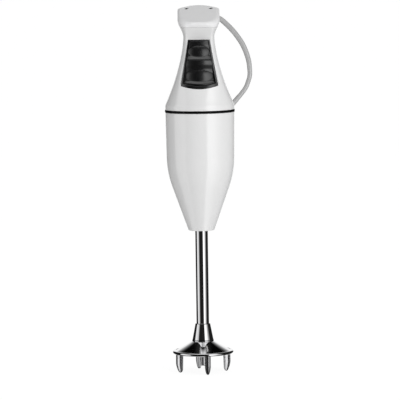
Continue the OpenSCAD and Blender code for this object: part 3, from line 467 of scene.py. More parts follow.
def rounded(outline: Sequence[Point], radii: Sequence[float], steps: int = 5) -> list[Point]:
    """Round the corners of a closed outline.

    Args:
        outline: Its corners.
        radii: The radius at each corner, where 0 keeps the corner.
        steps: The number of steps in each round.

    Returns:
        The outline with rounds at its corners.
    """
    points: list[Point] = []
    near, most = 1e-6, 0.49
    for k, radius in enumerate(radii):
        corner = Vector((*outline[k], 0.0))
        before = Vector((*outline[k - 1], 0.0)) - corner
        after = Vector((*outline[(k + 1) % len(outline)], 0.0)) - corner
        if radius <= 0 or before.length < near or after.length < near:
            points.append(tuple(corner.xy))
            continue
        half = before.angle(after) / 2
        reach = min(radius / math.tan(half), before.length * most, after.length * most)
        first, last = corner + before.normalized() * reach, corner + after.normalized() * reach
        for t in np.linspace(0.0, 1.0, steps + 1):
            mixed = first * (1 - t) ** 2 + corner * 2 * t * (1 - t) + last * t * t
            points.append(tuple(mixed.xy))
    return points


def prism(name: str, outline: Sequence[Point], low: float, high: float, place: Matrix | None = None) -> Mesh:
    """Draw an outline straight up from one height to another, then place it.

    Args:
        name: The mesh's name.
        outline: The closed outline.
        low: The height of its foot.
        high: The height of its top.
        place: Where it is set.

    Returns:
        The mesh.
    """
    matrix = place or Matrix.Identity(4)
    count = len(outline)
    points = [matrix @ Vector((x, y, z)) for z in (low, high) for x, y in outline]
    faces = [(i, (i + 1) % count, count + (i + 1) % count, count + i) for i in range(count)]
    faces += [tuple(range(count - 1, -1, -1)), tuple(range(count, 2 * count))]
    return mesh_of(name, points, faces)


def box_outline(half_x: float, low: float, high: float) -> list[Point]:
    """Corners of a rectangle that lies evenly about the other axis."""
    return [(-half_x, low), (half_x, low), (half_x, high), (-half_x, high)]


def modified(mesh: Mesh, steps: Sequence[tuple[str, dict[str, object]]]) -> Mesh:
    """Run a mesh through modifiers.

    Args:
        mesh: The mesh, which is used up.
        steps: Each modifier's type and settings, where the inputs of a node group go by identifier.

    Returns:
        The result as a plain mesh.
    """
    carrier = linked(bpy.data.objects.new("carrier", mesh))
    for kind, settings in steps:
        step = carrier.modifiers.new("step", kind)
        for key, value in settings.items():
            if key.startswith("Socket"):
                step[key] = value
            else:
                setattr(step, key, value)
    graph = bpy.context.evaluated_depsgraph_get()
    result = bpy.data.meshes.new_from_object(carrier.evaluated_get(graph))
    bpy.data.objects.remove(carrier)
    bpy.data.meshes.remove(mesh)
    return result


def cut(mesh: Mesh, tools: Sequence[Mesh], smooth_angle: float = 35.0) -> Mesh:
    """Cut tool meshes out of a mesh.

    Args:
        mesh: The mesh that is cut, which is used up.
        tools: The closed meshes that are taken away, which are used up too.
        smooth_angle: The angle past which an edge is sharp, in degrees.

    Returns:
        A new mesh.
    """
    helpers = [linked(bpy.data.objects.new("cut_tool", tool)) for tool in tools]
    settings = {"operation": "DIFFERENCE", "solver": "EXACT"}
    result = modified(mesh, [("BOOLEAN", {**settings, "object": helper}) for helper in helpers])
    for helper, tool in zip(helpers, tools):
        bpy.data.objects.remove(helper)
        bpy.data.meshes.remove(tool)
    return finished(result, smooth_angle)


def joined(meshes: Sequence[Mesh]) -> Mesh:
    """Join several meshes into one, and remove the single ones.

    Args:
        meshes: The meshes.

    Returns:
        The joined mesh.
    """
    work = bmesh.new()
    for mesh in meshes:
        work.from_mesh(mesh)
        bpy.data.meshes.remove(mesh)
    result = bpy.data.meshes.new("joined")
    work.to_mesh(result)
    work.free()
    return result


class RepeatTree(NodeBuilder):
    """A Geometry Nodes tree that lays out repeats, with named inputs."""

    def __init__(self, name: str) -> None:
        """Start an empty tree.

        Args:
            name: The tree's name.
        """
        super().__init__(bpy.data.node_groups.new(name, "GeometryNodeTree"), "GeometryNode")
        self.group.interface.new_socket("Geometry", in_out="OUTPUT", socket_type="NodeSocketGeometry")
        self.given = self.group.nodes.new("NodeGroupInput")
        self.result = self.group.nodes.new("NodeGroupOutput")
        self.values: dict[str, object] = {}

    def number(self, name: str, value: float) -> NodeSocket:
        """Add a named input that holds a number, and return its socket."""
        return self._input(name, "NodeSocketFloat", float(value))

    def whole(self, name: str, value: int) -> NodeSocket:
        """Add a named input that holds a whole number, and return its socket."""
        return self._input(name, "NodeSocketInt", int(value))

    def _input(self, name: str, kind: str, value: object) -> NodeSocket:
        """Add an input and remember its value by its identifier.

        Args:
            name: The input's name.
            kind: The type of its socket.
            value: Its value.

        Returns:
            Its socket.
        """
        item = self.group.interface.new_socket(name, in_out="INPUT", socket_type=kind)
        self.values[item.identifier] = value
        return next(s for s in self.given.outputs if s.identifier == item.identifier)

    def mesh(self, geometry: NodeSocket, finish: Finish) -> Mesh:
        """End the tree and run it once.

        Args:
            geometry: The socket that holds the instances or the mesh.
            finish: The finish of the result.

        Returns:
            The result as a plain mesh.
        """
        real = self.add("RealizeInstances", Geometry=geometry).outputs[0]
        dressed = self.add("SetMaterial", Geometry=real, Material=finish.material())
        self.put(self.result, Geometry=dressed.outputs[0])
        settings = {"node_group": self.group, **self.values}
        return modified(bpy.data.meshes.new("carrier"), [("NODES", settings)])

    def copies(self, mesh: Mesh, points: NodeSocket, rotation: NodeSocket, finish: Finish) -> Mesh:
        """Set a copy of a mesh on every point, end the tree and run it.

        Args:
            mesh: The mesh, which is used up.
            points: The points.
            rotation: The turn of each copy.
            finish: The finish of the result.

        Returns:
            One plain mesh of all the copies.
        """
        source = bpy.data.objects.new("source", mesh)
        single = self.add("ObjectInfo", Object=self._input("Copy", "NodeSocketObject", source))
        sockets = {"Points": points, "Instance": single.outputs["Geometry"], "Rotation": rotation}
        result = self.mesh(self.add("InstanceOnPoints", **sockets).outputs[0], finish)
        bpy.data.objects.remove(source)
        bpy.data.meshes.remove(mesh)
        return result


# ---------------------------------------------------------------- the form of the handle

# The seal ring is drawn this much above its CAD height, in millimetres.
SEAL_LIFT = 0.6
# The angle past which an edge of the lofted shells is sharp, in degrees.
SHELL_ANGLE = 30.0


@dataclass(frozen=True)
class Levels:
    """Heights along the shaft's axis in millimetres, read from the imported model."""

    nose: float
    seam: float
    cover: float
    part: float
    collar: float
    bell: float
    rim: float
    tip: float
    body_r: float

    @classmethod
    def from_frame(cls) -> Levels:
        """Read the levels from the boxes of the CAD nodes.

        Returns:
            The levels.
        """
        nodes = ("motor_housing", "seal_ring", "head_cap", "guard_collar", "guard_bell", "guard_prong_front")
        low = {node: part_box(node)[0][2] / MM for node in nodes}
        high = {node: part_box(node)[1][2] / MM for node in nodes}
        return cls(
            nose=low["motor_housing"], seam=low["seal_ring"] + SEAL_LIFT, cover=high["seal_ring"],
            part=low["head_cap"], collar=high["guard_collar"], bell=low["guard_collar"],
            rim=low["guard_bell"], tip=low["guard_prong_front"], body_r=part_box("motor_housing")[1][0] / MM,
        )


@dataclass(frozen=True)
class HandleForm:
    """The sections of the handle cover and the cap, at a height h above the seal ring."""

    body_r: float
    cover_h: float
    wall: float = 2.4
    skirt_h: float = 4.6
    neck_w: float = 14.4
    neck_at: float = 66.0
    neck_front: float = 17.3
    neck_rear: float = 19.0
    head_w: float = 19.35
    head_front: float = 24.0
    head_rear: float = 23.0
    head_flare: float = 20.0
    square: float = 3.2
    square_over: float = 35.0
    key_tilt: float = 8.0
    flat_depth: float = 20.3
    flat_most: float = 0.985
    brow_depth: float = 22.5
    panel_at: float = 19.9
    panel_l: float = 45.6
    panel_top_w: float = 19.7
    panel_flare: float = 9.7
    panel_sag: float = 3.5
    flare_power: float = 1.6
    edge_round: float = 0.22
    rear_arch: float = 7.0
    rear_round: float = 0.3

    @property
    def tilt(self) -> float:
        """The key panel's tilt in radians."""
        return math.radians(self.key_tilt)

    @property
    def flare_angle(self) -> float:
        """The angle by which each side of the key panel opens downwards, in radians."""
        return math.radians(self.panel_flare)

    def power(self, h: Array | float) -> Array | float:
        """Exponent of the section, which turns from round to squarish."""
        return 2 + (self.square - 2) * smoothstep((h - self.skirt_h) / self.square_over)

    def flare(self, h: Array) -> Array:
        """How far the section is still on its way from the neck to the body, from 1 to 0."""
        u = np.clip((h - self.skirt_h) / (self.neck_at + 2 - self.skirt_h), 0.0, 1.0)
        return (1 - u) ** self.flare_power

    def half_width(self, h: Array) -> Array:
        """Half width of the section.

        Args:
            h: The height above the seal ring.

        Returns:
            The half width.
        """
        rise = smoothstep((h - self.neck_at - 1) / (self.head_flare - 4))
        body, head = self.body_r - self.neck_w, self.head_w - self.neck_w
        return self.neck_w + body * self.flare(h) + head * rise

    def depth(self, h: Array, neck: float, head: float) -> Array:
        """Depth of the section to the front or the rear, without the flat."""
        rise = smoothstep((h - self.neck_at) / self.head_flare)
        return neck + (self.body_r - neck) * self.flare(h) + (head - neck) * rise

    def flat(self, h: Array) -> Array:
        """Depth of the flat that carries the keys, and of the head's front above it."""
        low = self.flat_depth - (np.minimum(h, self.neck_at) - self.panel_at) * math.tan(self.tilt)
        return low + (self.brow_depth - low) * smoothstep((h - self.neck_at) / self.head_flare)

    def radius(self, theta: Array, h: Array | float, inset: float = 0.0, flat: bool = True) -> Array:
        """Radius of the section in a direction.

        Args:
            theta: The direction from +X, in radians.
            h: The height above the seal ring.
            inset: How far the section is drawn in.
            flat: Whether the front is cut flat.

        Returns:
            The radius.
        """
        side = self.half_width(h) - inset
        front = self.depth(h, self.neck_front, self.head_front) - inset
        rear = self.depth(h, self.neck_rear, self.head_rear) - inset
        sine, cosine, least = np.sin(theta), np.cos(theta), 1e-3
        curve = oval(theta, side, np.where(sine < 0, front, rear), self.power(h))
        arched = 2 * rear / (sine + np.sqrt(sine**2 + 4 * self.rear_arch * (cosine / side) ** 2 * rear))
        boxed = smooth_min(side / np.maximum(np.abs(cosine), least), arched, self.rear_round)
        change = smoothstep((h - self.neck_at - 2) / self.head_flare)
        curve = np.where(sine < 0, curve, curve + (boxed - curve) * change)
        if not flat:
            return curve
        plane = np.minimum(self.flat(h) - inset, front * self.flat_most) / np.maximum(-sine, least)
        return smooth_min(curve, plane, self.edge_round)

    def panel_half(self, v: Array | float) -> Array | float:
        """Half width of the key panel at a place along it."""
        return self.panel_top_w / 2 + (self.panel_l - v) * math.tan(self.flare_angle)

    @property
    def corner_x(self) -> float:
        """Half width of the panel at its lower corners."""
        return self.panel_half(self.panel_sag)

    def arc_up(self, x: Array) -> Array:
        """How far the panel's lower edge has risen at a distance from the middle."""
        return self.panel_sag * (np.minimum(np.abs(x), self.corner_x + 2.5) / self.corner_x) ** 2

    def panel_matrix(self, z_cover: float) -> Matrix:
        """Place of the panel: x across it, y along it and z out of it."""
        place = Matrix.Translation((0, -self.flat_depth, z_cover + self.panel_at))
        return place @ Matrix.Rotation(math.radians(90 - self.key_tilt), 4, "X")

    def cone_over_panel(self, x: float, v: float) -> float:
        """Height of the uncut cover over the panel's plane at a place.

        Args:
            x: The place across the panel.
            v: The place along the panel.

        Returns:
            The height out of the plane.
        """
        w = 0.0
        for _ in range(8):
            h = self.panel_at + v * math.cos(self.tilt) + w * math.sin(self.tilt)
            power = float(self.power(h))
            front = float(self.depth(h, self.neck_front, self.head_front))
            share = max(1 - (abs(x) / float(self.half_width(h))) ** power, 0.0)
            out = front * share ** (1 / power) - self.flat_depth + v * math.sin(self.tilt)
            w = out / math.cos(self.tilt)
        return w

    def panel_edge(self, inset: float, low: float | None = None) -> list[Point]:
        """Outline of the panel, drawn in.

        Args:
            inset: How far it is drawn in.
            low: Another inset for its lower edge.

        Returns:
            The outline, from the top left corner along the lower edge to the top right.
        """
        bottom = inset if low is None else low
        side = inset / math.cos(self.flare_angle)
        top, steps = self.panel_l - inset, 16
        foot = self.panel_half(self.panel_sag + bottom) - side
        head = self.panel_half(top) - side
        across = [foot * k / steps for k in range(-steps, steps + 1)]
        curve = [(x, bottom + self.panel_sag * (x / self.corner_x) ** 2) for x in across]
        return [(-head, top), *curve, (head, top)]

    def cap_top(self, y: Array, front_h: float, slope: float) -> Array:
        """Height of the cap's sloping top face."""
        return self.cover_h + front_h + (y + self.brow_depth) * math.tan(math.radians(slope))


# ---------------------------------------------------------------- the mains lead


@dataclass
class MainsLead:
    """The cord with its hank and plug, the strain relief and the tie."""

    diameter: float = 5.5
    exit: Spot = (0.0, 39.0, 183.134)
    length: float = 1.26
    thin_at: tuple[float, ...] = (0, 3, 8, 11, 13, 16, 20)
    thin_by: tuple[float, ...] = (1.0, 0.91, 0.9, 0.86, 0.79, 0.78, 1.0)
    hank_centre: float = 65.0
    hank_run: float = 60.0
    hank_x: float = 16.5
    hank_first_y: float = 38.9
    hank_turns: int = 5
    hank_back: float = 63.65
    bend_steps: int = 12
    knot_steps: int = 4
    relief_in: float = 18.4
    relief_flange: float = 1.5
    relief_r: float = 5.2
    relief_length: float = 16.0
    relief_steps: int = 40
    ribs: int = 6
    rib_r: float = 0.62
    rib_from: float = 2.6
    rib_margin: float = 3.2
    rib_fall: float = 0.92
    plug_at: Spot = (12.0, 70.95, 84.0)
    plug_l: float = 39.0
    plug_w: float = 35.4
    plug_t: float = 13.6
    grip_ribs: int = 5
    grip_from: float = 30.0
    grip_sunk: float = 0.35
    grip_pitch: float = 3.4
    grip_l: float = 15.0
    grip_r: float = 0.85
    tie_t: float = 1.1
    tie_steps: int = 96

    def bow(self) -> list[Spot]:
        """Points from the strain relief round the side to the hank, in millimetres.

        Returns:
            The points.
        """
        x, y, z = self.exit
        return [
            (x, y, z), (1.5, 46.5, z + 0.2), (6.5, 53, 182.8), (13, 57, 181.3), (20.1, 57.5, 178.7),
            (26.2, 57, 173.5), (31.4, 56, 168.1), (36, 55, 162.3), (40, 54, 156.2), (42.9, 53, 150.2),
            (44.8, 52, 145), (46.4, 51, 139), (47.1, 50, 132.5), (47.2, 49, 126), (45.7, 48, 120.3),
            (43.3, 46.5, 114.6), (39.2, 45, 109.1), (34.5, 43.5, 103.8), (29.8, 42.3, 98.4),
            (24.5, 41, 91.5), (20, 39.6, 84),
        ]

    def tail(self) -> list[Spot]:
        """Points from the hank over its top to the plug, in millimetres.

        Returns:
            The points.
        """
        back = self.hank_back
        return [
            (-16, back - 1, 88), (-15.5, back + 2.5, 98), (-11.5, back + 5.5, 107), (-3, back + 7, 112),
            (6, back + 7.3, 109), (11, back + 7.3, 100), (12, back + 7.3, 91), (12, back + 7.3, 84),
        ]

    def hank(self) -> list[Spot]:
        """Points along the turns of the hank, one layer behind the other, in millimetres.

        Returns:
            The points.
        """
        half, r, middle = self.hank_run / 2, self.hank_x, self.hank_centre
        entry, exit_short, straight = 10.0, 14.0, 7
        points: list[Spot] = []
        for turn in range(self.hank_turns):
            first, last = turn == 0, turn == self.hank_turns - 1
            y = self.hank_first_y + turn * self.diameter
            top = entry if first else half
            points += [(r, y, middle + z) for z in np.linspace(top, -half, straight)]
            for a in np.radians(np.linspace(-12, -168, self.bend_steps)):
                points.append((r * math.cos(a), y, middle - half + r * math.sin(a)))
            top = half - exit_short if last else half
            points += [(-r, y, middle + z) for z in np.linspace(-half, top, straight)]
            if last:
                break
            for a in np.linspace(168, 12, self.bend_steps):
                rise = float(smoothstep((180 - a) / 180)) * self.diameter
                turned = math.radians(a)
                points.append((r * math.cos(turned), y + rise, middle + half + r * math.sin(turned)))
        return points

    def route(self) -> Array:
        """Run one smooth line through all the cord's points.

        Returns:
            The whole cord's centreline, in metres.
        """
        knots = np.array(self.bow() + self.hank() + self.tail(), dtype=float)
        padded = np.vstack([2 * knots[0] - knots[1], knots, 2 * knots[-1] - knots[-2]])
        points = []
        for k in range(1, len(padded) - 2):
            a, b, c, d = padded[k - 1 : k + 3]
            square, cube = 2 * a - 5 * b + 4 * c - d, 3 * b - a - 3 * c + d
            for t in np.arange(self.knot_steps) / self.knot_steps:
                points.append(0.5 * (2 * b + (c - a) * t + square * t**2 + cube * t**3))
        return np.array(points + [padded[-2]]) * MM

    def cord(self) -> Object:
        """Lay the cord as a curve of one open spline, a little thinner in its bow.

        Returns:
            The cord.
        """
        line = self.route()
        curve = bpy.data.curves.new("mains_cord", "CURVE")
        curve.dimensions = "3D"
        curve.bevel_depth = self.diameter / 2 * MM
        curve.bevel_resolution = 5
        spline = curve.splines.new("POLY")
        spline.points.add(len(line) - 1)
        for k, (point, place) in enumerate(zip(spline.points, line)):
            point.co = (*place, 1.0)
            point.radius = float(np.interp(k / self.knot_steps, self.thin_at, self.thin_by))
        spline.use_smooth = True
        curve.materials.append(CORD_PVC.material())
        piece = linked(bpy.data.objects.new("mains_cord", curve))
        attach(piece, Body.HOUSING.value)
        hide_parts("power_cord", "cord_hank", "cord_tail")
        run = float(np.linalg.norm(np.diff(line, axis=0), axis=1).sum())
        LOG.info("mains_cord: %d points, %.3f m long", len(line), run)
        return piece

    def relief_ribs(self, neck: float) -> Mesh:
        """Lay the row of ribs on the strain relief's taper.

        Args:
            neck: The radius that the taper ends at.

        Returns:
            The ribs.
        """
        x, y, z = self.exit
        tree = RepeatTree("relief_ribs")
        count = tree.whole("Ribs", self.ribs)
        pitch = tree.number("Pitch", (self.relief_length - self.rib_margin) / self.ribs * MM)
        start = (x * MM, (y - self.relief_length + self.rib_from) * MM, z * MM)
        line = tree.add("MeshLine", Count=count, Start_Location=start, Offset=tree.vector(y=pitch))
        unit = 1.0 * MM
        ring = tree.add("CurvePrimitiveCircle", Resolution=self.relief_steps, Radius=unit).outputs[0]
        ring = tree.add("Transform", Geometry=ring, Rotation=(math.pi / 2, 0.0, 0.0)).outputs[0]
        thick = tree.number("Rib section", self.rib_r * MM)
        section = tree.add("CurvePrimitiveCircle", Resolution=10, Radius=thick).outputs[0]
        first = tree.number("First rib", (self.relief_r - 0.5) * MM)
        step = tree.number("Taper", (self.relief_r - neck) / self.ribs * MM * self.rib_fall)
        fall = tree.math("MULTIPLY", tree.add("InputIndex").outputs[0], step)
        size = tree.math("DIVIDE", tree.math("SUBTRACT", first, fall), unit)
        sockets = {"Points": line.outputs[0], "Instance": ring, "Scale": tree.vector(size, size, size)}
        rings = tree.add("InstanceOnPoints", **sockets).outputs[0]
        real = tree.add("RealizeInstances", Geometry=rings).outputs[0]
        tube = tree.add("CurveToMesh", Curve=real, Profile_Curve=section).outputs[0]
        return tree.mesh(tree.add("SetShadeSmooth", i0=tube).outputs[0], CORD_PVC)

    def relief(self) -> Object:
        """Build the strain relief with its flange, its taper and its ribs.

        Returns:
            The strain relief.
        """
        x, y, z = self.exit
        neck, r, long = self.diameter / 2 + 0.6, self.relief_r, self.relief_length
        back = self.relief_in - y
        core = [
            (0.0, back), (r + 1, back), (r + 1, back + self.relief_flange), (r, back + self.relief_flange),
            (r, -long), (r + 0.5, -long + 0.2), (r + 0.5, -long + 1.5), (r - 0.5, -long + 2.0), (neck, -0.4),
            (neck - 0.3, 0.0), (0.0, 0.0),
        ]
        turns = 2 * math.pi * np.arange(self.relief_steps) / self.relief_steps
        points = [(x + r * math.cos(a), y + d, z + r * math.sin(a)) for r, d in core for a in turns]
        body = mesh_of("relief_core", points, grid_faces(len(core), self.relief_steps))
        mesh = joined([body, self.relief_ribs(neck)])
        piece = new_piece("strain_relief_sleeve", CORD_PVC, Body.HOUSING, mesh)
        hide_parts("strain_relief")
        return piece

    def plug_grip(self) -> Mesh:
        """Lay the grip ribs on both faces of the plug.

        Returns:
            The ribs.
        """
        tree = RepeatTree("plug_grip")
        x, y, z = self.plug_at
        start = (x * MM, y * MM, (z - self.grip_from) * MM)
        pitch = tree.vector(z=tree.number("Pitch", self.grip_pitch * MM))
        count = tree.whole("Ribs a side", self.grip_ribs)
        line = tree.add("MeshLine", Count=count, Start_Location=start, Offset=pitch)
        sizes = {"Radius": tree.number("Rib radius", self.grip_r * MM)}
        sizes["Depth"] = tree.number("Rib length", self.grip_l * MM)
        bar = tree.add("MeshCylinder", Vertices=12, **sizes).outputs[0]
        across = tree.add("Transform", Geometry=bar, Rotation=(0.0, math.pi / 2, 0.0)).outputs[0]
        pair = tree.add("JoinGeometry")
        for side in (-1, 1):
            out = side * (self.plug_t / 2 - self.grip_sunk) * MM
            face = tree.vector(y=tree.number(f"Face {side}", out))
            moved = tree.add("Transform", Geometry=across, Translation=face).outputs[0]
            tree.put(pair, i0=moved)
        ribs = tree.add("InstanceOnPoints", Points=line.outputs[0], Instance=pair.outputs[0])
        return tree.mesh(ribs.outputs[0], PLUG_PLASTIC)

    def plug(self) -> Object:
        """Build the flat plug's body with its sleeve and its grip ribs.

        Returns:
            The plug.
        """
        half, long, waist, softness = self.plug_w / 2, self.plug_l, 12, 2.6
        outline = [
            (-half, -long), (half, -long), (half, -long + waist), (11, -12), (6.2, -3.2), (-6.2, -3.2),
            (-11, -12), (-half, -long + waist),
        ]
        outline = rounded(outline, [2.0, 2.0, 7.0, 6.0, 1.6, 1.6, 6.0, 7.0], 6)
        place = Matrix.Translation(self.plug_at) @ Matrix.Rotation(math.radians(90), 4, "X")
        block = prism("plug_block", outline, -self.plug_t / 2, self.plug_t / 2, place)
        bevel = {"width": softness * MM, "segments": 5, "limit_method": "ANGLE"}
        body = modified(block, [("BEVEL", {**bevel, "angle_limit": math.radians(50)})])
        for face in body.polygons:
            face.use_smooth = True
        cord_r = self.diameter / 2
        neck = [(0.0, -7.0), (4.9, -7.0), (cord_r + 1.0, 2.6), (cord_r + 0.5, 3.0), (0.0, 3.0)]
        sleeve = lathe("plug_sleeve", rounded(neck, [0, 0.4, 0.6, 0.2, 0], 3), 48)
        sleeve.transform(Matrix.Translation(Vector(self.plug_at) * MM))
        mesh = joined([body, sleeve, self.plug_grip()])
        piece = new_piece("flat_plug", PLUG_PLASTIC, Body.HOUSING, mesh)
        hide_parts("plug_body")
        return piece

    def tie(self) -> Object:
        """Build the strap round the hank from its CAD box.

        Returns:
            The strap.
        """
        low, high = (Vector(c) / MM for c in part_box("hank_tie"))
        mid, half, boxy = (low + high) / 2, (high - low) / 2, 0.4
        ring = []
        for k in range(self.tie_steps):
            a = 2 * math.pi * k / self.tie_steps
            c, s = math.cos(a), math.sin(a)
            ring.append((abs(c) ** boxy * math.copysign(1, c), abs(s) ** boxy * math.copysign(1, s)))
        section = [(0, low.z), (self.tie_t, low.z), (self.tie_t, high.z), (0, high.z)]
        section = rounded(section, [0.3] * 4, 3)
        points = []
        for inset, z in section:
            points += [(mid.x + x * (half.x - inset), mid.y + y * (half.y - inset), z) for x, y in ring]
        mesh = mesh_of("tie", points, grid_faces(len(section), self.tie_steps))
        piece = new_piece("hank_strap", TIE_WEAVE, Body.HOUSING, mesh)
        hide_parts("hank_tie")
        return piece

    def build(self, frame: dict) -> None:
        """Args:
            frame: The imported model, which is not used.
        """
        cord = self.cord()
        relief, plug, tie = self.relief(), self.plug(), self.tie()
        tuple(c * MM for c in self.exit)


# ---------------------------------------------------------------- the housing


@dataclass
class MotorHousing:
    """The tapering lower housing, one turned shell, and the seal ring above it."""

    levels: Levels
    nose_r: float = 11.9
    taper: float = 19.8
    shoulder_r: float = 86.0
    draft: float = 0.8
    wall: float = 2.4
    tube_r: float = 5.89
    boss_t: float = 3.07
    boss_h: float = 16.2
    floor_h: float = 7.0
    spigot_h: float = 5.8
    spigot_t: float = 1.6
    spigot_gap: float = 0.12
    foot_r: float = 1.0
    edge_r: float = 0.45
    edge_h: float = 1.2
    ring_out: float = 0.25
    ring_r: float = 0.3
    steps: int = 192

    def radius(self, z: float) -> float:
        """Outer radius at a height: a taper, a shoulder and a drafted wall.

        Args:
            z: The height.

        Returns:
            The radius.
        """
        taper, draft, bend = math.radians(self.taper), math.radians(self.draft), self.shoulder_r
        bend_r = bend * (math.cos(draft) - math.cos(taper))
        bend_h = bend * (math.sin(taper) - math.sin(draft))
        nose, seam, full = self.levels.nose, self.levels.seam, self.levels.body_r
        meet = full - self.nose_r - bend_r + nose * math.tan(taper) - (seam - bend_h) * math.tan(draft)
        start = meet / (math.tan(taper) - math.tan(draft))
        if z < start:
            return self.nose_r + (z - nose) * math.tan(taper)
        if z < start + bend_h:
            lean = math.asin(math.sin(taper) - (z - start) / bend)
            return self.nose_r + (start - nose) * math.tan(taper) + bend * (math.cos(lean) - math.cos(taper))
        return full - (seam - z) * math.tan(draft)

    def housing(self) -> None:
        """Turn the housing with its wall, floor, boss and spigot."""
        nose, seam, bore = self.levels.nose, self.levels.seam, self.tube_r
        heights = np.linspace(nose + self.edge_h, seam - self.edge_r, 72)
        outer = [(self.radius(z), z) for z in heights]
        floor = nose + self.floor_h
        inner = [(self.radius(z) - self.wall, z) for z in np.linspace(seam - 8, floor, 20)]
        edge = [(self.radius(z), z) for z in (seam - self.edge_h, seam)]
        lip = rounded([*edge, (self.levels.body_r - self.wall, seam)], [0, self.edge_r, 0])
        foot = rounded([(bore, nose), (self.nose_r, nose), outer[0]], [0, self.foot_r, 0])
        boss_r, boss_z = bore + self.boss_t, nose + self.boss_h
        spigot = self.levels.body_r - self.wall - self.spigot_gap
        thin, top = spigot - self.spigot_t, seam + self.spigot_h
        profile = [
            *foot[:-1], *outer[:-1], *lip[1:-1], (spigot, seam), (spigot, top), (thin, top), (thin, seam - 6),
            *inner, (boss_r, floor), (boss_r, boss_z), (bore, boss_z),
        ]
        mesh = lathe("lower_housing", profile, self.steps)
        piece = new_piece("lower_housing", WHITE_PLASTIC, Body.HOUSING, mesh)
        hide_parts("motor_housing")

    def ring(self) -> None:
        """Turn the rubber ring, rounded at its outer face."""
        low, high = self.levels.seam + 0.02, self.levels.cover + SEAL_LIFT - 0.12
        out, back = self.levels.body_r + self.ring_out, self.levels.body_r - self.wall - 0.1
        outline = [(back, low), (out, low), (out, high), (back, high)]
        outline = rounded(outline, [0, self.ring_r, self.ring_r, 0])
        mesh = lathe("rubber_ring", outline, self.steps)
        piece = new_piece("rubber_ring", SEAL_RUBBER, Body.HOUSING, mesh)
        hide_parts("seal_ring")

    def build(self) -> None:
        """Build both pieces."""
        self.housing()
        self.ring()


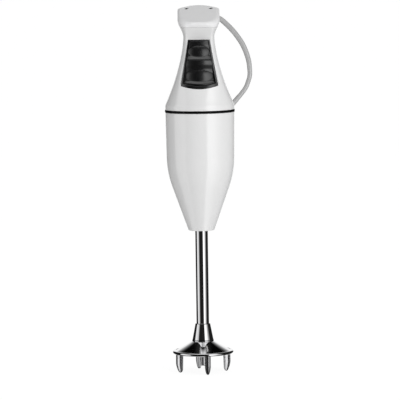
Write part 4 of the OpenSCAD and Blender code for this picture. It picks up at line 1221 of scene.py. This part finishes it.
@dataclass
class HandleCover:
    """The lofted handle cover, the head cap above it and the cap's screws."""

    levels: Levels
    form: HandleForm
    front_steps: int = 40
    side_steps: int = 190
    edge: float = 0.35
    lip_at: float = 0.9
    lip_h: float = 0.8
    warp_in_from: float = 6.5
    warp_in: float = 6.2
    warp_out: float = 16.0
    cap_front_h: float = 3.8
    cap_slope: float = 20.0
    cap_round: float = 3.0
    cap_cut: float = 0.3
    cap_floor: float = 0.6
    outlet_gap: float = 0.05
    well_gap: float = 0.2
    well_deep: float = 1.7
    parting: float = 0.75
    rim_power: float = 2.2
    rim_deep: float = 23.0
    rim_above: float = 6.0
    screw_x: float = 11.2
    screw_y: float = 13.0
    screw_r: float = 1.9
    shank_r: float = 1.05
    slot_l: float = 1.1
    slot_w: float = 0.25

    def turns(self, h: float) -> Array:
        """Directions of a section's points, closer together at the edges of the flat.

        Args:
            h: The section's height.

        Returns:
            The directions in radians.
        """
        form = self.form
        power = form.power(h)
        front = form.depth(h, form.neck_front, form.head_front)
        flat = min(form.flat(h), front * form.flat_most)
        edge_x = form.half_width(h) * (1 - (flat / front) ** power) ** (1 / power)
        corner = math.atan2(flat, edge_x)
        even, bunched = 0.3, 0.7
        s = np.linspace(-1, 1, self.front_steps, endpoint=False)
        across = -math.pi / 2 + (math.pi / 2 - corner) * (even * s + bunched * np.sin(s * math.pi / 2))
        even, bunched = 0.72, 0.28
        t = np.linspace(0, 1, self.side_steps, endpoint=False)
        share = even * t + bunched * (1 - np.cos(math.pi * t)) / 2
        around = -corner + (math.pi + 2 * corner) * share
        return np.concatenate([across, around])

    def ring(self, h: float, inset: float = 0.0, flat: bool = True, warp: float = 0.0) -> Array:
        """Points of one section.

        Args:
            h: Its height above the seal ring.
            inset: How far it is drawn in.
            flat: Whether its front is cut flat.
            warp: How far it is lifted along the panel's curved lower edge, from 0 to 1.

        Returns:
            The points.
        """
        form, theta = self.form, self.turns(h)
        x = form.radius(theta, h, inset, flat) * np.cos(theta)
        lifted = h + warp * form.arc_up(x)
        r = form.radius(theta, lifted, inset, flat)
        return np.stack([r * np.cos(theta), r * np.sin(theta), self.levels.cover + lifted], axis=1)

    def corner_cut(self, theta: Array) -> Array:
        """How far the cap's rim is drawn in at its front corners, towards an ellipse.

        Args:
            theta: The directions from +X, in radians.

        Returns:
            The cuts in millimetres.
        """
        form, h = self.form, self.form.cover_h + self.rim_above
        curve = oval(theta, float(form.half_width(h)), self.rim_deep, self.rim_power)
        return np.where(np.sin(theta) < 0, np.maximum(form.radius(theta, h) - curve, 0.0), 0.0)

    def cap_ring(self, inset: float, drop: float, mix: float = 1.0, cut_in: float = 0.0) -> Array:
        """Points of a section that lies below the cap's sloping top.

        Args:
            inset: How far it is drawn in.
            drop: How far it lies below the top.
            mix: How far it has turned from the parting plane to the slope, from 0 to 1.
            cut_in: The share of the corner cut that it takes.

        Returns:
            The points.
        """
        form, base = self.form, self.form.cover_h + 0.3
        theta = self.turns(form.cover_h + self.rim_above)
        away = cut_in * self.corner_cut(theta)
        y = form.radius(theta, form.cover_h + self.rim_above, inset) * np.sin(theta)
        for _ in range(3):
            h = base + (form.cap_top(y, self.cap_front_h, self.cap_slope) - drop - base) * mix
            r = form.radius(theta, h, inset) - away
            y = r * np.sin(theta)
        return np.stack([r * np.cos(theta), r * np.sin(theta), self.levels.cover + h], axis=1)

    def cover(self) -> None:
        """Loft the cover with its wall and cut the key panel's window."""
        form, edge, wall = self.form, self.edge, self.form.wall
        foot, start = SEAL_LIFT - 0.1, form.panel_at + self.lip_at
        rings = []
        for a in np.radians(np.linspace(0, 90, 5)):
            rings.append(self.ring(foot + edge * (1 - math.cos(a)), edge * (1 - math.sin(a)), False))
        rings += [self.ring(h, flat=False) for h in np.linspace(1.6, start - 6, 12)]
        for h in np.linspace(start - 5.4, start - 0.25, 10):
            bend = float(smoothstep((h - start + self.warp_in_from) / self.warp_in))
            rings.append(self.ring(h, flat=False, warp=bend))
        rings.append(self.ring(start, 0.08, False, 1.0))
        low, high = start + self.lip_h, form.cover_h
        rings.append(self.ring(low, 0.0, True, 1.0))
        for h in np.linspace(low + 0.6, high - edge, 64):
            rings.append(self.ring(h, warp=float(1 - smoothstep((h - low) / self.warp_out))))
        for a in np.radians(np.linspace(18, 90, 5)):
            rings.append(self.ring(high - edge + edge * math.sin(a), self.parting * (1 - math.cos(a))))
        inside = [high, high - 5, high - 10, *np.linspace(form.neck_at, form.panel_at + 7, 8)]
        rings += [self.ring(h, wall) for h in inside]
        rings.append(self.ring(form.panel_at - 2.5, wall, True, 1.0))
        below = (form.panel_at - 7, form.skirt_h + 4, form.skirt_h, foot)
        rings += [self.ring(h, wall, False) for h in below]
        faces = grid_faces(len(rings), len(rings[0]))
        shell = mesh_of("handle_cover", np.concatenate(rings), faces, SHELL_ANGLE)
        place = form.panel_matrix(self.levels.cover)
        window = prism("window", form.panel_edge(-0.05, -0.45), -12.0, 18.0, place)
        mesh = cut(shell, [window], SHELL_ANGLE)
        piece = new_piece("handle_cover", WHITE_PLASTIC, Body.HOUSING, mesh)
        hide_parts("handle_shell")

    def screw_matrix(self, side: int) -> Matrix:
        """Find the place of one of the cap's screws.

        Args:
            side: -1 for the left screw or 1 for the right one.

        Returns:
            The place in metres, with +Z out of the cap.
        """
        high = self.levels.cover + self.form.cap_top(self.screw_y, self.cap_front_h, self.cap_slope)
        place = Matrix.Translation((side * self.screw_x, self.screw_y, float(high)))
        place = place @ Matrix.Rotation(math.radians(self.cap_slope), 4, "X")
        place.translation *= MM
        return place

    def bore(self, radius: float, low: float, high: float, steps: int, place: Matrix) -> Mesh:
        """Make a cylinder that cuts a bore, and place it.

        Args:
            radius: Its radius.
            low: The height of its foot.
            high: The height of its top.
            steps: The number of steps round it.
            place: Where it is set, in metres.

        Returns:
            The mesh.
        """
        mesh = lathe("bore", [(0.0, low), (radius, low), (radius, high), (0.0, high)], steps)
        mesh.transform(place)
        return mesh

    def solid(self, name: str, rings: Sequence[Array]) -> Mesh:
        """Join rings into a mesh with a lid at both ends."""
        faces = stacked_faces(len(rings), len(rings[0]))
        return mesh_of(name, np.concatenate(rings), faces, SHELL_ANGLE)

    def cap(self) -> None:
        """Loft the cap with its sloping top, and cut the screw wells and the cord's outlet."""
        form, edge, wall = self.form, self.edge, self.form.wall
        base, soft, part_cut = form.cover_h, self.cap_round, self.cap_cut
        rings = []
        for a in np.radians(np.linspace(0, 90, 5)):
            rings.append(self.ring(base + edge * (1 - math.cos(a)), self.parting * (1 - math.sin(a))))
        rings += [self.cap_ring(0.0, soft, m, part_cut * m) for m in np.linspace(0.15, 0.97, 12)]
        for a in np.radians(np.linspace(0, 90, 13)):
            share = part_cut + (1 - part_cut) * math.sin(a)
            rings.append(self.cap_ring(soft * (1 - math.cos(a)), soft * (1 - math.sin(a)), 1.0, share))
        cavity = self.cap_ring(wall, wall + self.cap_floor, 1.0, 1.0)
        cavity[:, 2] = np.maximum(cavity[:, 2], self.levels.part + self.cap_floor)
        hollow = self.solid("cap_hollow", [self.ring(base, wall) - (0, 0, 0.5), cavity])
        lead = MainsLead()
        place = Matrix.Translation((0, form.head_rear * MM, lead.exit[2] * MM))
        place = place @ Matrix.Rotation(-math.pi / 2, 4, "X")
        tools = [hollow, self.bore(lead.relief_r + self.outlet_gap, -12.0, 18.0, 48, place)]
        well_r, wells = self.screw_r + self.well_gap, (self.screw_matrix(side) for side in (-1, 1))
        tools += [self.bore(well_r, -self.well_deep, 8.0, 40, well) for well in wells]
        mesh = cut(self.solid("head_cap", rings), tools, SHELL_ANGLE)
        piece = new_piece("top_cap", GREY_PLASTIC, Body.HOUSING, mesh)
        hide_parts("head_cap")

    def screws(self) -> None:
        """Repeat one cross-recessed screw at both places."""
        shank, r, long, wide = self.shank_r, self.screw_r, self.slot_l, self.slot_w
        head = [(0.0, -9.0), (shank, -9.0), (shank, -1.72), (r, -1.7), (r, -0.5), (0.0, -0.45)]
        screw = lathe("screw", rounded(head, [0, 0.2, 0, 0, 0.4, 0], 4), 40)
        cross = ((long, wide), (wide, long))
        screw = cut(screw, [prism("slot", box_outline(a, -b, b), -1.25, 0.5) for a, b in cross])
        tree = RepeatTree("cap_screw_row")
        first, last = (self.screw_matrix(s).translation for s in (-1, 1))
        places = {"Start_Location": tuple(first), "Offset": tuple(last)}
        row = tree.add("MeshLine", {"mode": "END_POINTS"}, Count=tree.whole("Screws", 2), **places)
        tilt = tree.vector(x=tree.number("Slope", math.radians(self.cap_slope)))
        mesh = tree.copies(screw, row.outputs[0], tilt, SCREW_STEEL)
        piece = new_piece("cap_screw_pair", SCREW_STEEL, Body.HOUSING, mesh)
        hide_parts("cap_screws")

    def build(self) -> None:
        """Build the three pieces."""
        self.cover()
        self.cap()
        self.screws()


# ---------------------------------------------------------------- the keys


@dataclass(frozen=True)
class FingerPad:
    """A low oval cushion on a key, with a fine groove round it."""

    at: float
    width: float
    height: float = 9.8
    bulge: float = 0.8
    soft: float = 0.08
    groove: float = 0.2
    groove_at: float = 0.3
    groove_w: float = 0.42

    def lift(self, x: Array, v: Array) -> Array:
        """Height that the pad adds to the key's face.

        Args:
            x: Places across the panel.
            v: Places along the panel.

        Returns:
            The heights, below zero in the groove.
        """
        far = (2 * x / self.width) ** 2 + (2 * (v - self.at) / self.height) ** 2
        steep = np.hypot(8 * x / self.width**2, 8 * (v - self.at) / self.height**2)
        away = (far - 1) / np.maximum(steep, 0.05)
        cushion = self.soft * np.logaddexp(0.0, self.bulge * (1 - far) / self.soft)
        return cushion - self.groove * np.exp(-(((away - self.groove_at) / self.groove_w) ** 2))


@dataclass(frozen=True)
class KeyShape:
    """Where one key lies along the panel, its profile of places and heights, and its pad."""

    low: float
    high: float
    profile: tuple[Point, ...]
    pad: FingerPad
    curved: bool
    smoothing: float = 0.55

    def profile_at(self, v: Array) -> Array:
        """Read the profile, smoothed over a millimetre or so.

        Args:
            v: Places along the panel.

        Returns:
            The heights there.
        """
        places, heights = zip(*self.profile)
        margin, samples, window = 4, 1200, 2.0
        fine = np.linspace(places[0] - margin, places[-1] + margin, samples)
        raw = np.interp(fine, places, heights)
        step = fine[1] - fine[0]
        reach = np.arange(-int(window / step), int(window / step) + 1) * step
        kernel = np.exp(-0.5 * (reach / self.smoothing) ** 2)
        padded = np.pad(raw, len(reach) // 2, mode="edge")
        return np.interp(v, fine, np.convolve(padded, kernel / kernel.sum(), mode="valid"))


@dataclass
class KeyPanel:
    """The two keys and the frame around them."""

    levels: Levels
    form: HandleForm
    bezel_w: float = 1.5
    bezel_out: float = 0.9
    bezel_in: float = 3.4
    bezel_soft: float = 0.35
    gap: float = 0.3
    upper_l: float = 18.7
    rim_w: float = 3.0
    rim_rise: float = 0.2
    rim_over: float = 0.05
    leg_t: float = 1.2
    leg_depth: float = 16.6
    leg_low_at: float = 0.25
    leg_low_half: float = 4.0
    leg_high_in: float = 1.3
    leg_high_half: float = 6.0
    across_r: float = 24.0
    key_soft: float = 0.25
    key_points: int = 132
    key_foot: float = 0.6
    key_angle: float = 40.0
    drop: float = 0.4

    def placed(self, points: Array | Sequence) -> list[Vector]:
        """Move points from the panel's own frame to the model's."""
        matrix = self.form.panel_matrix(self.levels.cover)
        return [matrix @ Vector(p) for p in points]

    def bezel(self) -> None:
        """Loft the frame round the keys, with its lower rim flush with the cover, and add its legs."""
        out, width, soft = self.bezel_out, self.bezel_w, self.bezel_soft
        deep = -self.bezel_in
        section = rounded([(0.0, deep), (0.0, out), (width, out), (width, deep)], [0, soft, soft, 0], 4)
        spots = []
        for inset, w in section:
            outline = self.form.panel_edge(inset, inset * self.rim_w / width - self.drop)
            for k, (x, v) in enumerate(outline):
                rim = 0 < k < len(outline) - 1 and w > 0
                cone = self.form.cone_over_panel(x, v)
                level = cone + self.rim_over - out + self.rim_rise * inset
                spots.append((x, v, level + w if rim else w))
        parts = [mesh_of("bezel", self.placed(spots), grid_faces(len(section), len(outline)))]
        place = self.form.panel_matrix(self.levels.cover)
        high_at = self.form.panel_l - self.leg_high_in
        for v, half in ((self.leg_low_at, self.leg_low_half), (high_at, self.leg_high_half)):
            foot = box_outline(half, v, v + self.leg_t)
            parts.append(prism("leg", foot, -self.leg_depth, deep + 0.01, place))
        piece = new_piece("key_frame", BLACK_PLASTIC, Body.HOUSING, joined(parts))
        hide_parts("switch_bezel")

    def face(self, shape: KeyShape) -> Array:
        """Lay a grid of points over a key's face.

        Args:
            shape: The key's shape.

        Returns:
            The points in the panel's own frame, by row and column.
        """
        form, low, high = self.form, shape.low, shape.high
        side = (self.bezel_w + self.gap) / math.cos(form.flare_angle)
        even, dense = np.linspace(-1, 1, self.key_points), 0.35
        ease = np.sin(even * math.pi / 2) * dense + even * (1 - dense)
        bunched = (1 - np.cos(np.linspace(0, math.pi, self.key_points))) / 2
        t = bunched * dense + np.linspace(0, 1, self.key_points) * (1 - dense)
        grid_t, grid_s = np.meshgrid(t, ease, indexing="ij")
        v = low + (high - low) * grid_t
        for _ in range(3):
            x = grid_s * (form.panel_half(v) - side)
            bottom = low + (form.panel_sag * (x / form.corner_x) ** 2 if shape.curved else 0.0)
            v = bottom + (high - bottom) * grid_t
        w = shape.profile_at(v - (bottom - low) * (1 - grid_t) ** 2) + shape.pad.lift(x, v)
        w -= x**2 / (2 * self.across_r)
        border = np.minimum.reduce([form.panel_half(v) - side - np.abs(x), v - bottom, high - v])
        inward = 1 - np.clip(border / self.key_soft, 0, 1)
        w = w - self.key_soft * (1 - np.sqrt(np.clip(1 - inward**2, 0, 1)))
        return np.stack([x, v, w], axis=2)

    def key(self, name: str, body: Body, shape: KeyShape) -> Object:
        """Build one key as a dense height field with rounded borders and straight sides.

        Args:
            name: The piece's name.
            body: The body that it moves with.
            shape: Its shape.

        Returns:
            The piece.
        """
        top = self.face(shape)
        rows, columns = top.shape[:2]
        grid_count = rows * columns
        index = np.arange(grid_count).reshape(rows, columns)
        edge = np.concatenate([index[0, :], index[1:, -1], index[-1, -2::-1], index[-2:0:-1, 0]])
        count = len(edge)
        floor = top.reshape(-1, 3)[edge]
        floor[:, 2] = -self.bezel_in + self.key_foot
        faces = grid_faces(rows, columns, False, False)
        for k in range(count):
            after = (k + 1) % count
            faces.append((int(edge[k]), int(edge[after]), grid_count + after, grid_count + k))
        faces.append(tuple(range(grid_count + count - 1, grid_count - 1, -1)))
        points = self.placed(np.concatenate([top.reshape(-1, 3), floor]))
        mesh = mesh_of(name, points, faces, self.key_angle)
        return new_piece(name, BLACK_PLASTIC, body, mesh)

    def build(self) -> None:
        """Build the frame and both keys."""
        self.bezel()
        long, low = self.form.panel_l, self.rim_w + self.gap
        split, top = long - self.upper_l, long - self.bezel_w - self.gap
        profile = (
            (low, 5.9), (4.4, 5.8), (6.9, 4.1), (18.0, 3.9), (22.3, 7.2), (25.6, 7.4), (split, 6.9),
            (split + 2, 5.6),
        )
        shape = KeyShape(low, split - 0.1, profile, FingerPad(split - 14.7, 26.6), True)
        lower = self.key("lower_key_cap", Body.LOWER_KEY, shape)
        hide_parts("key_lower")
        profile = (
            (split - 2, 8.5), (split + 3.8, 4.4), (39.6, 3.4), (40.6, 3.5), (top, 5.1), (top + 2, 6.2),
        )
        shape = KeyShape(split + 0.1, top, profile, FingerPad(long - 11.0, 19.0), False)
        upper = self.key("upper_key_cap", Body.UPPER_KEY, shape)
        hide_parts("key_upper")


# ---------------------------------------------------------------- shaft and guard


@dataclass
class ShaftAndGuard:
    """The chromed tube, the cone collar, the bell with its beaded rim and the four prongs."""

    levels: Levels
    tube_r: float = 5.86
    tube_wall: float = 0.8
    collar_top_r: float = 6.85
    collar_foot_r: float = 10.2
    bell_r: float = 28.3
    bell_t: float = 1.4
    bead_r: float = 1.5
    bell_bore: float = 5.4
    prong_r: float = 25.7
    prong_deep: float = 6.6
    prong_w: float = 5.0
    prong_turn: float = 10.5
    prong_count: int = 4
    prong_in: float = 0.25
    prong_angle: float = 50.0
    seat_gap: float = 0.03
    edge_r: float = 0.2
    steps: int = 128
    bell_steps: int = 192

    def tube(self) -> None:
        """Turn the shaft tube."""
        low, high = (c.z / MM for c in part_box("shaft_tube"))
        bore, out = self.tube_r - self.tube_wall, self.tube_r
        outline = [(bore, low), (out, low), (out, high), (bore, high)]
        outline = rounded(outline, [0, self.edge_r, self.edge_r, 0], 3)
        mesh = lathe("chromed_tube", outline, self.steps)
        piece = new_piece("chromed_tube", CHROME, Body.HOUSING, mesh)
        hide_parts("shaft_tube")

    def collar(self) -> None:
        """Turn the cone collar, with its small foot bead."""
        top, low = self.levels.collar, self.levels.bell
        foot, neck, bore = self.collar_foot_r, self.collar_top_r, self.bell_bore
        seat = self.tube_r + self.seat_gap
        outline = [
            (bore, low), (foot - 0.1, low), (foot, low + 0.65), (foot - 0.4, low + 1.3),
            (neck + 0.1, top - 0.6), (neck - 0.2, top), (seat, top), (seat, low + 2.1), (bore, low + 2.1),
        ]
        outline = rounded(outline, [0, 0.4, 0.5, 0.25, 0.5, 0.25, 0, 0, 0])
        mesh = lathe("cone_collar", outline, self.steps)
        piece = new_piece("cone_collar", CHROME, Body.HOUSING, mesh)
        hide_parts("guard_collar")

    def under(self, r: float) -> float:
        """Height of the bell's underside at a radius.

        Args:
            r: The radius.

        Returns:
            The height along the shaft's axis.
        """
        mid, foot = self.bell_r - self.bead_r, self.levels.rim + self.bead_r - self.bell_t / 2
        head = self.levels.bell - 0.3 - self.bell_t
        return foot + (mid - r) * (head - foot) / (mid - self.collar_foot_r - 0.3)

    def bell(self) -> None:
        """Turn the bell from sheet, with its curled rim."""
        rim, top, sheet = self.levels.rim, self.levels.bell, self.bell_t
        foot, mid, bore = self.collar_foot_r, self.bell_r - self.bead_r, self.bell_bore
        bead = arc((mid, rim + self.bead_r), self.bead_r, -170, 140, 20)
        outline = [
            (bore, top - 3.6), (foot - 1.4, top - 3.6), (foot - 0.6, top - 0.4 - sheet),
            (foot + 0.3, top - 0.3 - sheet), (mid - 0.6, self.under(mid - 0.6)), *bead,
            (foot + 0.3, top - 0.3), (foot - 0.4, top), (bore, top),
        ]
        mesh = lathe("splash_bell", outline, self.bell_steps)
        piece = new_piece("splash_bell", CHROME, Body.HOUSING, mesh)
        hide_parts("guard_bell")

    def prong(self) -> Mesh:
        """Loft one prong at the front, with a rounded outer face, fluted sides and a blunt tip.

        Returns:
            The prong, whose top follows the bell's underside.
        """
        tip, long, deep = self.levels.tip, self.levels.rim - self.levels.tip, self.prong_deep
        out_z, out_r = [0.0, 0.4, 1.4, 3.0, 5.0, 8.0], [-3.4, -2.9, -2.2, -1.4, -0.7, 0.0]
        in_z, in_r = [0.0, 0.4, 1.2, 2.6, long], [-4.4, -5.2, -5.8, -6.2, -deep]
        wide_z, wide = [0.0, 0.3, 1.0, 2.5, 5.0, 8.0], [0.2, 0.36, 0.52, 0.7, 0.88, 1.0]
        top = self.under(self.prong_r) - 0.5 - tip
        levels = [0.0, 0.1, 0.25, 0.5, 0.9, 1.4, 2.0, 2.8, *np.linspace(3.6, top, 16)]
        half = [(0.0, 1.0), (1.0, 0.68), (0.84, 0.1), (1.0, -0.7), (0.7, -1.0)]
        outline = [*half, *((-x, y) for x, y in half[:0:-1])]
        outline = rounded(outline, [0.14, 0.1, 0.6, 0.12, 0.1, 0.1, 0.12, 0.6, 0.1], 4)
        points = []
        for level in levels:
            far = self.prong_r + np.interp(level, out_z, out_r)
            near = self.prong_r + np.interp(level, in_z, in_r)
            across = self.prong_w / 2 * np.interp(level, wide_z, wide)
            middle, reach = (far + near) / 2, (far - near) / 2
            points += [(x * across, -middle - y * reach, tip + level) for x, y in outline]
        count = len(outline)
        points += [(x, y, self.under(math.hypot(x, y)) + self.prong_in) for x, y, _ in points[-count:]]
        return mesh_of("prong", points, stacked_faces(len(levels) + 1, count), self.prong_angle)

    def prongs(self) -> None:
        """Repeat the prong round the shaft's axis."""
        tree = RepeatTree("prong_ring")
        count = tree.whole("Count", self.prong_count)
        points = tree.add("MeshLine", Count=count, Offset=(0.0, 0.0, 0.0)).outputs[0]
        step = tree.math("DIVIDE", 2 * math.pi, count)
        turned = tree.math("MULTIPLY", tree.add("InputIndex").outputs[0], step)
        turn = tree.math("ADD", turned, tree.number("First angle", math.radians(self.prong_turn)))
        mesh = tree.copies(self.prong(), points, tree.vector(z=turn), PRONG_STEEL)
        piece = new_piece("guard_prongs", PRONG_STEEL, Body.HOUSING, mesh)
        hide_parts("guard_prong_front", "guard_prong_right", "guard_prong_rear", "guard_prong_left")

    def build(self) -> None:
        """Build the shaft's pieces and the ring of prongs."""
        self.tube()
        self.collar()
        self.bell()
        self.prongs()


# ---------------------------------------------------------------- what stays as packed


@dataclass
class InnerWorks:
    """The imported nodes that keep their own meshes, by the finish that they take."""

    finishes: dict[Finish, tuple[str, ...]] = field(
        default_factory=lambda: {
            STEEL: (
                "key_spring_upper", "key_spring_lower", "motor_screws", "armature_shaft", "drive_shaft",
                "drive_cross_pin", "tube_nut",
            ),
            BLACK_PLASTIC: ("microswitch_upper", "microswitch_lower", "cord_clamp"),
            BOARD: ("switch_board",),
            YELLOW_FILM: ("suppression_capacitor",),
            CORD_PVC: ("inner_cord",),
            WIRE: ("inner_leads",),
            LAMINATION: ("field_stack", "armature_core"),
            WINDING: ("field_coils", "armature_winding"),
            CAST_ALLOY: ("upper_bracket", "lower_bracket", "coupling_upper", "coupling_lower"),
            BRONZE: ("upper_bearing", "lower_bearing", "tube_bush_upper", "tube_bush_lower"),
            BRASS: ("brush_holders",),
            CARBON: ("carbon_brushes",),
            COPPER: ("commutator",),
            SEAL_RUBBER: ("coupling_spider", "shaft_seal"),
            NICKEL: ("plug_pins",),
        }
    )

    def build(self, frame: dict) -> None:
        """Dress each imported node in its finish.

        Args:
            frame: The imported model.
        """
        for finish, names in self.finishes.items():
            for name in names:
                for slot in frame["nodes"][name].material_slots:
                    slot.material = finish.material()
                LOG.info("%s: finish %s", name, finish.name)


# ---------------------------------------------------------------- studio


@dataclass(frozen=True)
class SoftBox:
    """A soft area lamp that lights the object without showing in its gloss."""

    name: str
    azimuth: float
    elevation: float
    distance: float
    size: float
    power: float

    def hang(self, centre: Vector) -> None:
        """Hang the lamp so that it faces a place.

        Args:
            centre: The place, in metres.
        """
        data = bpy.data.lights.new(self.name, "AREA")
        data.shape = "SQUARE"
        data.size = self.size
        data.energy = self.power
        lamp = linked(bpy.data.objects.new(self.name, data))
        azimuth, level = math.radians(self.azimuth), math.cos(math.radians(self.elevation))
        rise = math.sin(math.radians(self.elevation))
        side = Vector((math.sin(azimuth) * level, -math.cos(azimuth) * level, rise))
        lamp.location = centre + side * self.distance
        lamp.rotation_euler = (-side).to_track_quat("-Z", "Y").to_euler()
        lamp.visible_glossy = False


@dataclass
class Studio:
    """The floor, the lamp, the surroundings that gloss shows, and the camera.

    The bands are pairs of an azimuth from the front and the strength that gloss sees there. The ramps
    and lids are pairs of an elevation and a strength, ahead of the object and behind it. All in degrees.
    """

    levels: Levels
    camera_at: Spot = (-0.0010, -2.900, 0.2725)
    pitch: float = 84.9
    roll: float = -0.8
    lens: float = 283.8
    sensor: float = 36.0
    ambient: float = 0.54
    lamp: SoftBox = SoftBox("key_right", 34.0, 20.0, 1.6, 0.9, 9.5)
    lamp_centre: Spot = (0.0, 0.0, 0.03)
    behind_from: float = 122.0
    bands: tuple[Point, ...] = (
        (-180, 1.0), (-165, 1.0), (-156, 0.06), (-146, 0.012), (-98, 0.01), (-93, 0.85), (-81, 0.95),
        (-65, 0.75), (-53, 0.6), (-48, 0.04), (-30, 0.012), (17, 0.02), (21, 0.05), (25, 1.5), (38, 1.45),
        (52, 1.1), (60, 0.6), (77, 0.16), (84, 0.015), (146, 0.012), (156, 0.06), (165, 1.0), (180, 1.0),
    )
    ramp_behind: tuple[Point, ...] = ((-90, 0.9), (-15, 1.0), (15, 1.0), (37, 0.35), (42, 0.02), (90, 0.02))
    ramp_ahead: tuple[Point, ...] = (
        (-90, 0.03), (-54, 0.05), (-47, 0.65), (-10, 1.0), (28, 1.0), (38, 0.05), (90, 0.05),
    )
    lid_behind: tuple[Point, ...] = ((-90, 0.0), (77, 0.0), (80, 1.0), (90, 1.0))
    lid_ahead: tuple[Point, ...] = ((-90, 0.0), (57, 0.0), (64, 1.0), (90, 1.0))
    strongest: float = 1.6
    floor_reach: float = 90000.0
    floor_colour: Spot = (0.9, 0.9, 0.9)
    floor_rough: float = 0.9
    floor_glow: float = 1.12
    floor_glow_share: float = 0.3
    floor_glow_seen: float = 0.52

    def camera(self) -> None:
        """Place the camera."""
        data = bpy.data.cameras.new("camera")
        data.lens = self.lens
        data.sensor_width = self.sensor
        camera = linked(bpy.data.objects.new("camera", data))
        pitch = Matrix.Rotation(math.radians(self.pitch), 4, "X")
        turn = pitch @ Matrix.Rotation(math.radians(self.roll), 4, "Z")
        camera.matrix_world = Matrix.Translation(self.camera_at) @ turn
        bpy.context.scene.camera = camera

    def world(self) -> None:
        """Make the surroundings: white to the eye, even for diffuse light, banded in gloss."""
        world = bpy.data.worlds.new("surroundings")
        bpy.context.scene.world = world
        world.use_nodes = True
        world.node_tree.nodes.clear()
        nodes = NodeBuilder(world.node_tree)
        path = nodes.add("LightPath").outputs
        seen = self._glow(nodes, self.ambient)
        for ray, strength in (("Glossy", self._surroundings(nodes)), ("Transmission", 1.0), ("Camera", 1.0)):
            glow = self._glow(nodes, strength)
            seen = nodes.add("MixShader", i0=path[f"Is {ray} Ray"], i1=seen, i2=glow).outputs[0]
        nodes.add("OutputWorld", Surface=seen)

    def _glow(self, nodes: NodeBuilder, strength: NodeSocket | float) -> NodeSocket:
        """Return a white background of a strength."""
        return nodes.add("Background", Strength=strength, Color=WHITE).outputs[0]

    def _ramp(self, nodes: NodeBuilder, at: NodeSocket, stops: Sequence[Point], span: float) -> NodeSocket:
        """Return the strength between stops.

        Args:
            nodes: The surroundings' tree.
            at: The angle as a share of its span.
            stops: Pairs of an angle in degrees, evenly about 0, and the strength there.
            span: The span of the angle in degrees.

        Returns:
            The strength's socket.
        """
        node = nodes.add("ValToRGB", Fac=at)
        elements = node.color_ramp.elements
        while len(elements) < len(stops):
            elements.new(0.5)
        for element, (angle, value) in zip(elements, stops):
            element.position = angle / span + 0.5
            element.color = (*[value / self.strongest] * 3, 1.0)
        return nodes.math("MULTIPLY", node.outputs["Color"], self.strongest)

    def _surroundings(self, nodes: NodeBuilder) -> NodeSocket:
        """Return the strength that gloss sees by direction: bands round the object, a lid above.

        Args:
            nodes: The surroundings' tree.

        Returns:
            The strength's socket.
        """
        where = nodes.add("TexCoord").outputs["Generated"]
        split = nodes.add("SeparateXYZ", Vector=where).outputs
        azimuth = nodes.math("ARCTAN2", split["X"], nodes.math("MULTIPLY", split["Y"], -1.0))
        turned = nodes.math("ADD", nodes.math("DIVIDE", azimuth, 2 * math.pi), 0.5)
        around = self._ramp(nodes, turned, self.bands, 360)
        rise = nodes.math("DIVIDE", nodes.math("ARCSINE", split["Z"]), math.pi)
        height = nodes.math("ADD", rise, 0.5)
        limit = math.radians(self.behind_from)
        behind = nodes.math("GREATER_THAN", nodes.math("ABSOLUTE", azimuth), limit)
        ahead = nodes.math("SUBTRACT", 1.0, behind)
        parts = []
        for far, near in ((self.ramp_behind, self.ramp_ahead), (self.lid_behind, self.lid_ahead)):
            back = nodes.math("MULTIPLY", behind, self._ramp(nodes, height, far, 180))
            front = nodes.math("MULTIPLY", ahead, self._ramp(nodes, height, near, 180))
            parts.append(nodes.math("ADD", back, front))
        return nodes.math("ADD", nodes.math("MULTIPLY", around, parts[0]), parts[1])

    def floor(self) -> None:
        """Lay the pale floor under the prongs, which glows most to the eye."""
        reach = self.floor_reach
        corners = [(x, y, self.levels.tip) for x, y in box_outline(reach, -reach, reach)]
        mesh = mesh_of("floor", corners, [(0, 1, 2, 3)])
        mat = bpy.data.materials.new("pale_floor")
        mat.use_nodes = True
        nodes = NodeBuilder(mat.node_tree)
        shader = mat.node_tree.nodes["Principled BSDF"]
        nodes.put(shader, Base_Color=(*self.floor_colour, 1.0), Roughness=self.floor_rough)
        glow = nodes.add("Emission", Strength=self.floor_glow).outputs[0]
        path = nodes.add("LightPath").outputs
        seen = nodes.math("MAXIMUM", path["Is Camera Ray"], path["Is Transmission Ray"])
        weights = {"i1": self.floor_glow_seen, "i2": self.floor_glow_share}
        share = nodes.add("Math", {"operation": "MULTIPLY_ADD"}, i0=seen, **weights).outputs[0]
        mix = nodes.add("MixShader", i0=share, i1=shader.outputs[0], i2=glow).outputs[0]
        nodes.put(mat.node_tree.nodes["Material Output"], Surface=mix)
        mesh.materials.append(mat)
        floor = linked(bpy.data.objects.new("floor", mesh))
        floor.visible_glossy = False

    def build(self) -> None:
        """Set up everything but the camera."""
        self.lamp.hang(Vector(self.lamp_centre))
        self.world()
        self.floor()
        bpy.context.scene.view_settings.view_transform = "Standard"


def main() -> None:
    """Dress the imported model, piece by piece."""
    logging.basicConfig(level=logging.INFO, format="%(name)s: %(message)s")
    for thing in list(bpy.data.objects):
        bpy.data.objects.remove(thing)
    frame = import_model()
    levels = Levels.from_frame()
    studio = Studio(levels)
    studio.camera()
    MainsLead().build(frame)
    form = HandleForm(body_r=levels.body_r, cover_h=levels.part - levels.cover)
    MotorHousing(levels).build()
    HandleCover(levels, form).build()
    KeyPanel(levels, form).build()
    ShaftAndGuard(levels).build()
    InnerWorks().build(frame)
    studio.build()


if __name__ == "__main__":
    main()
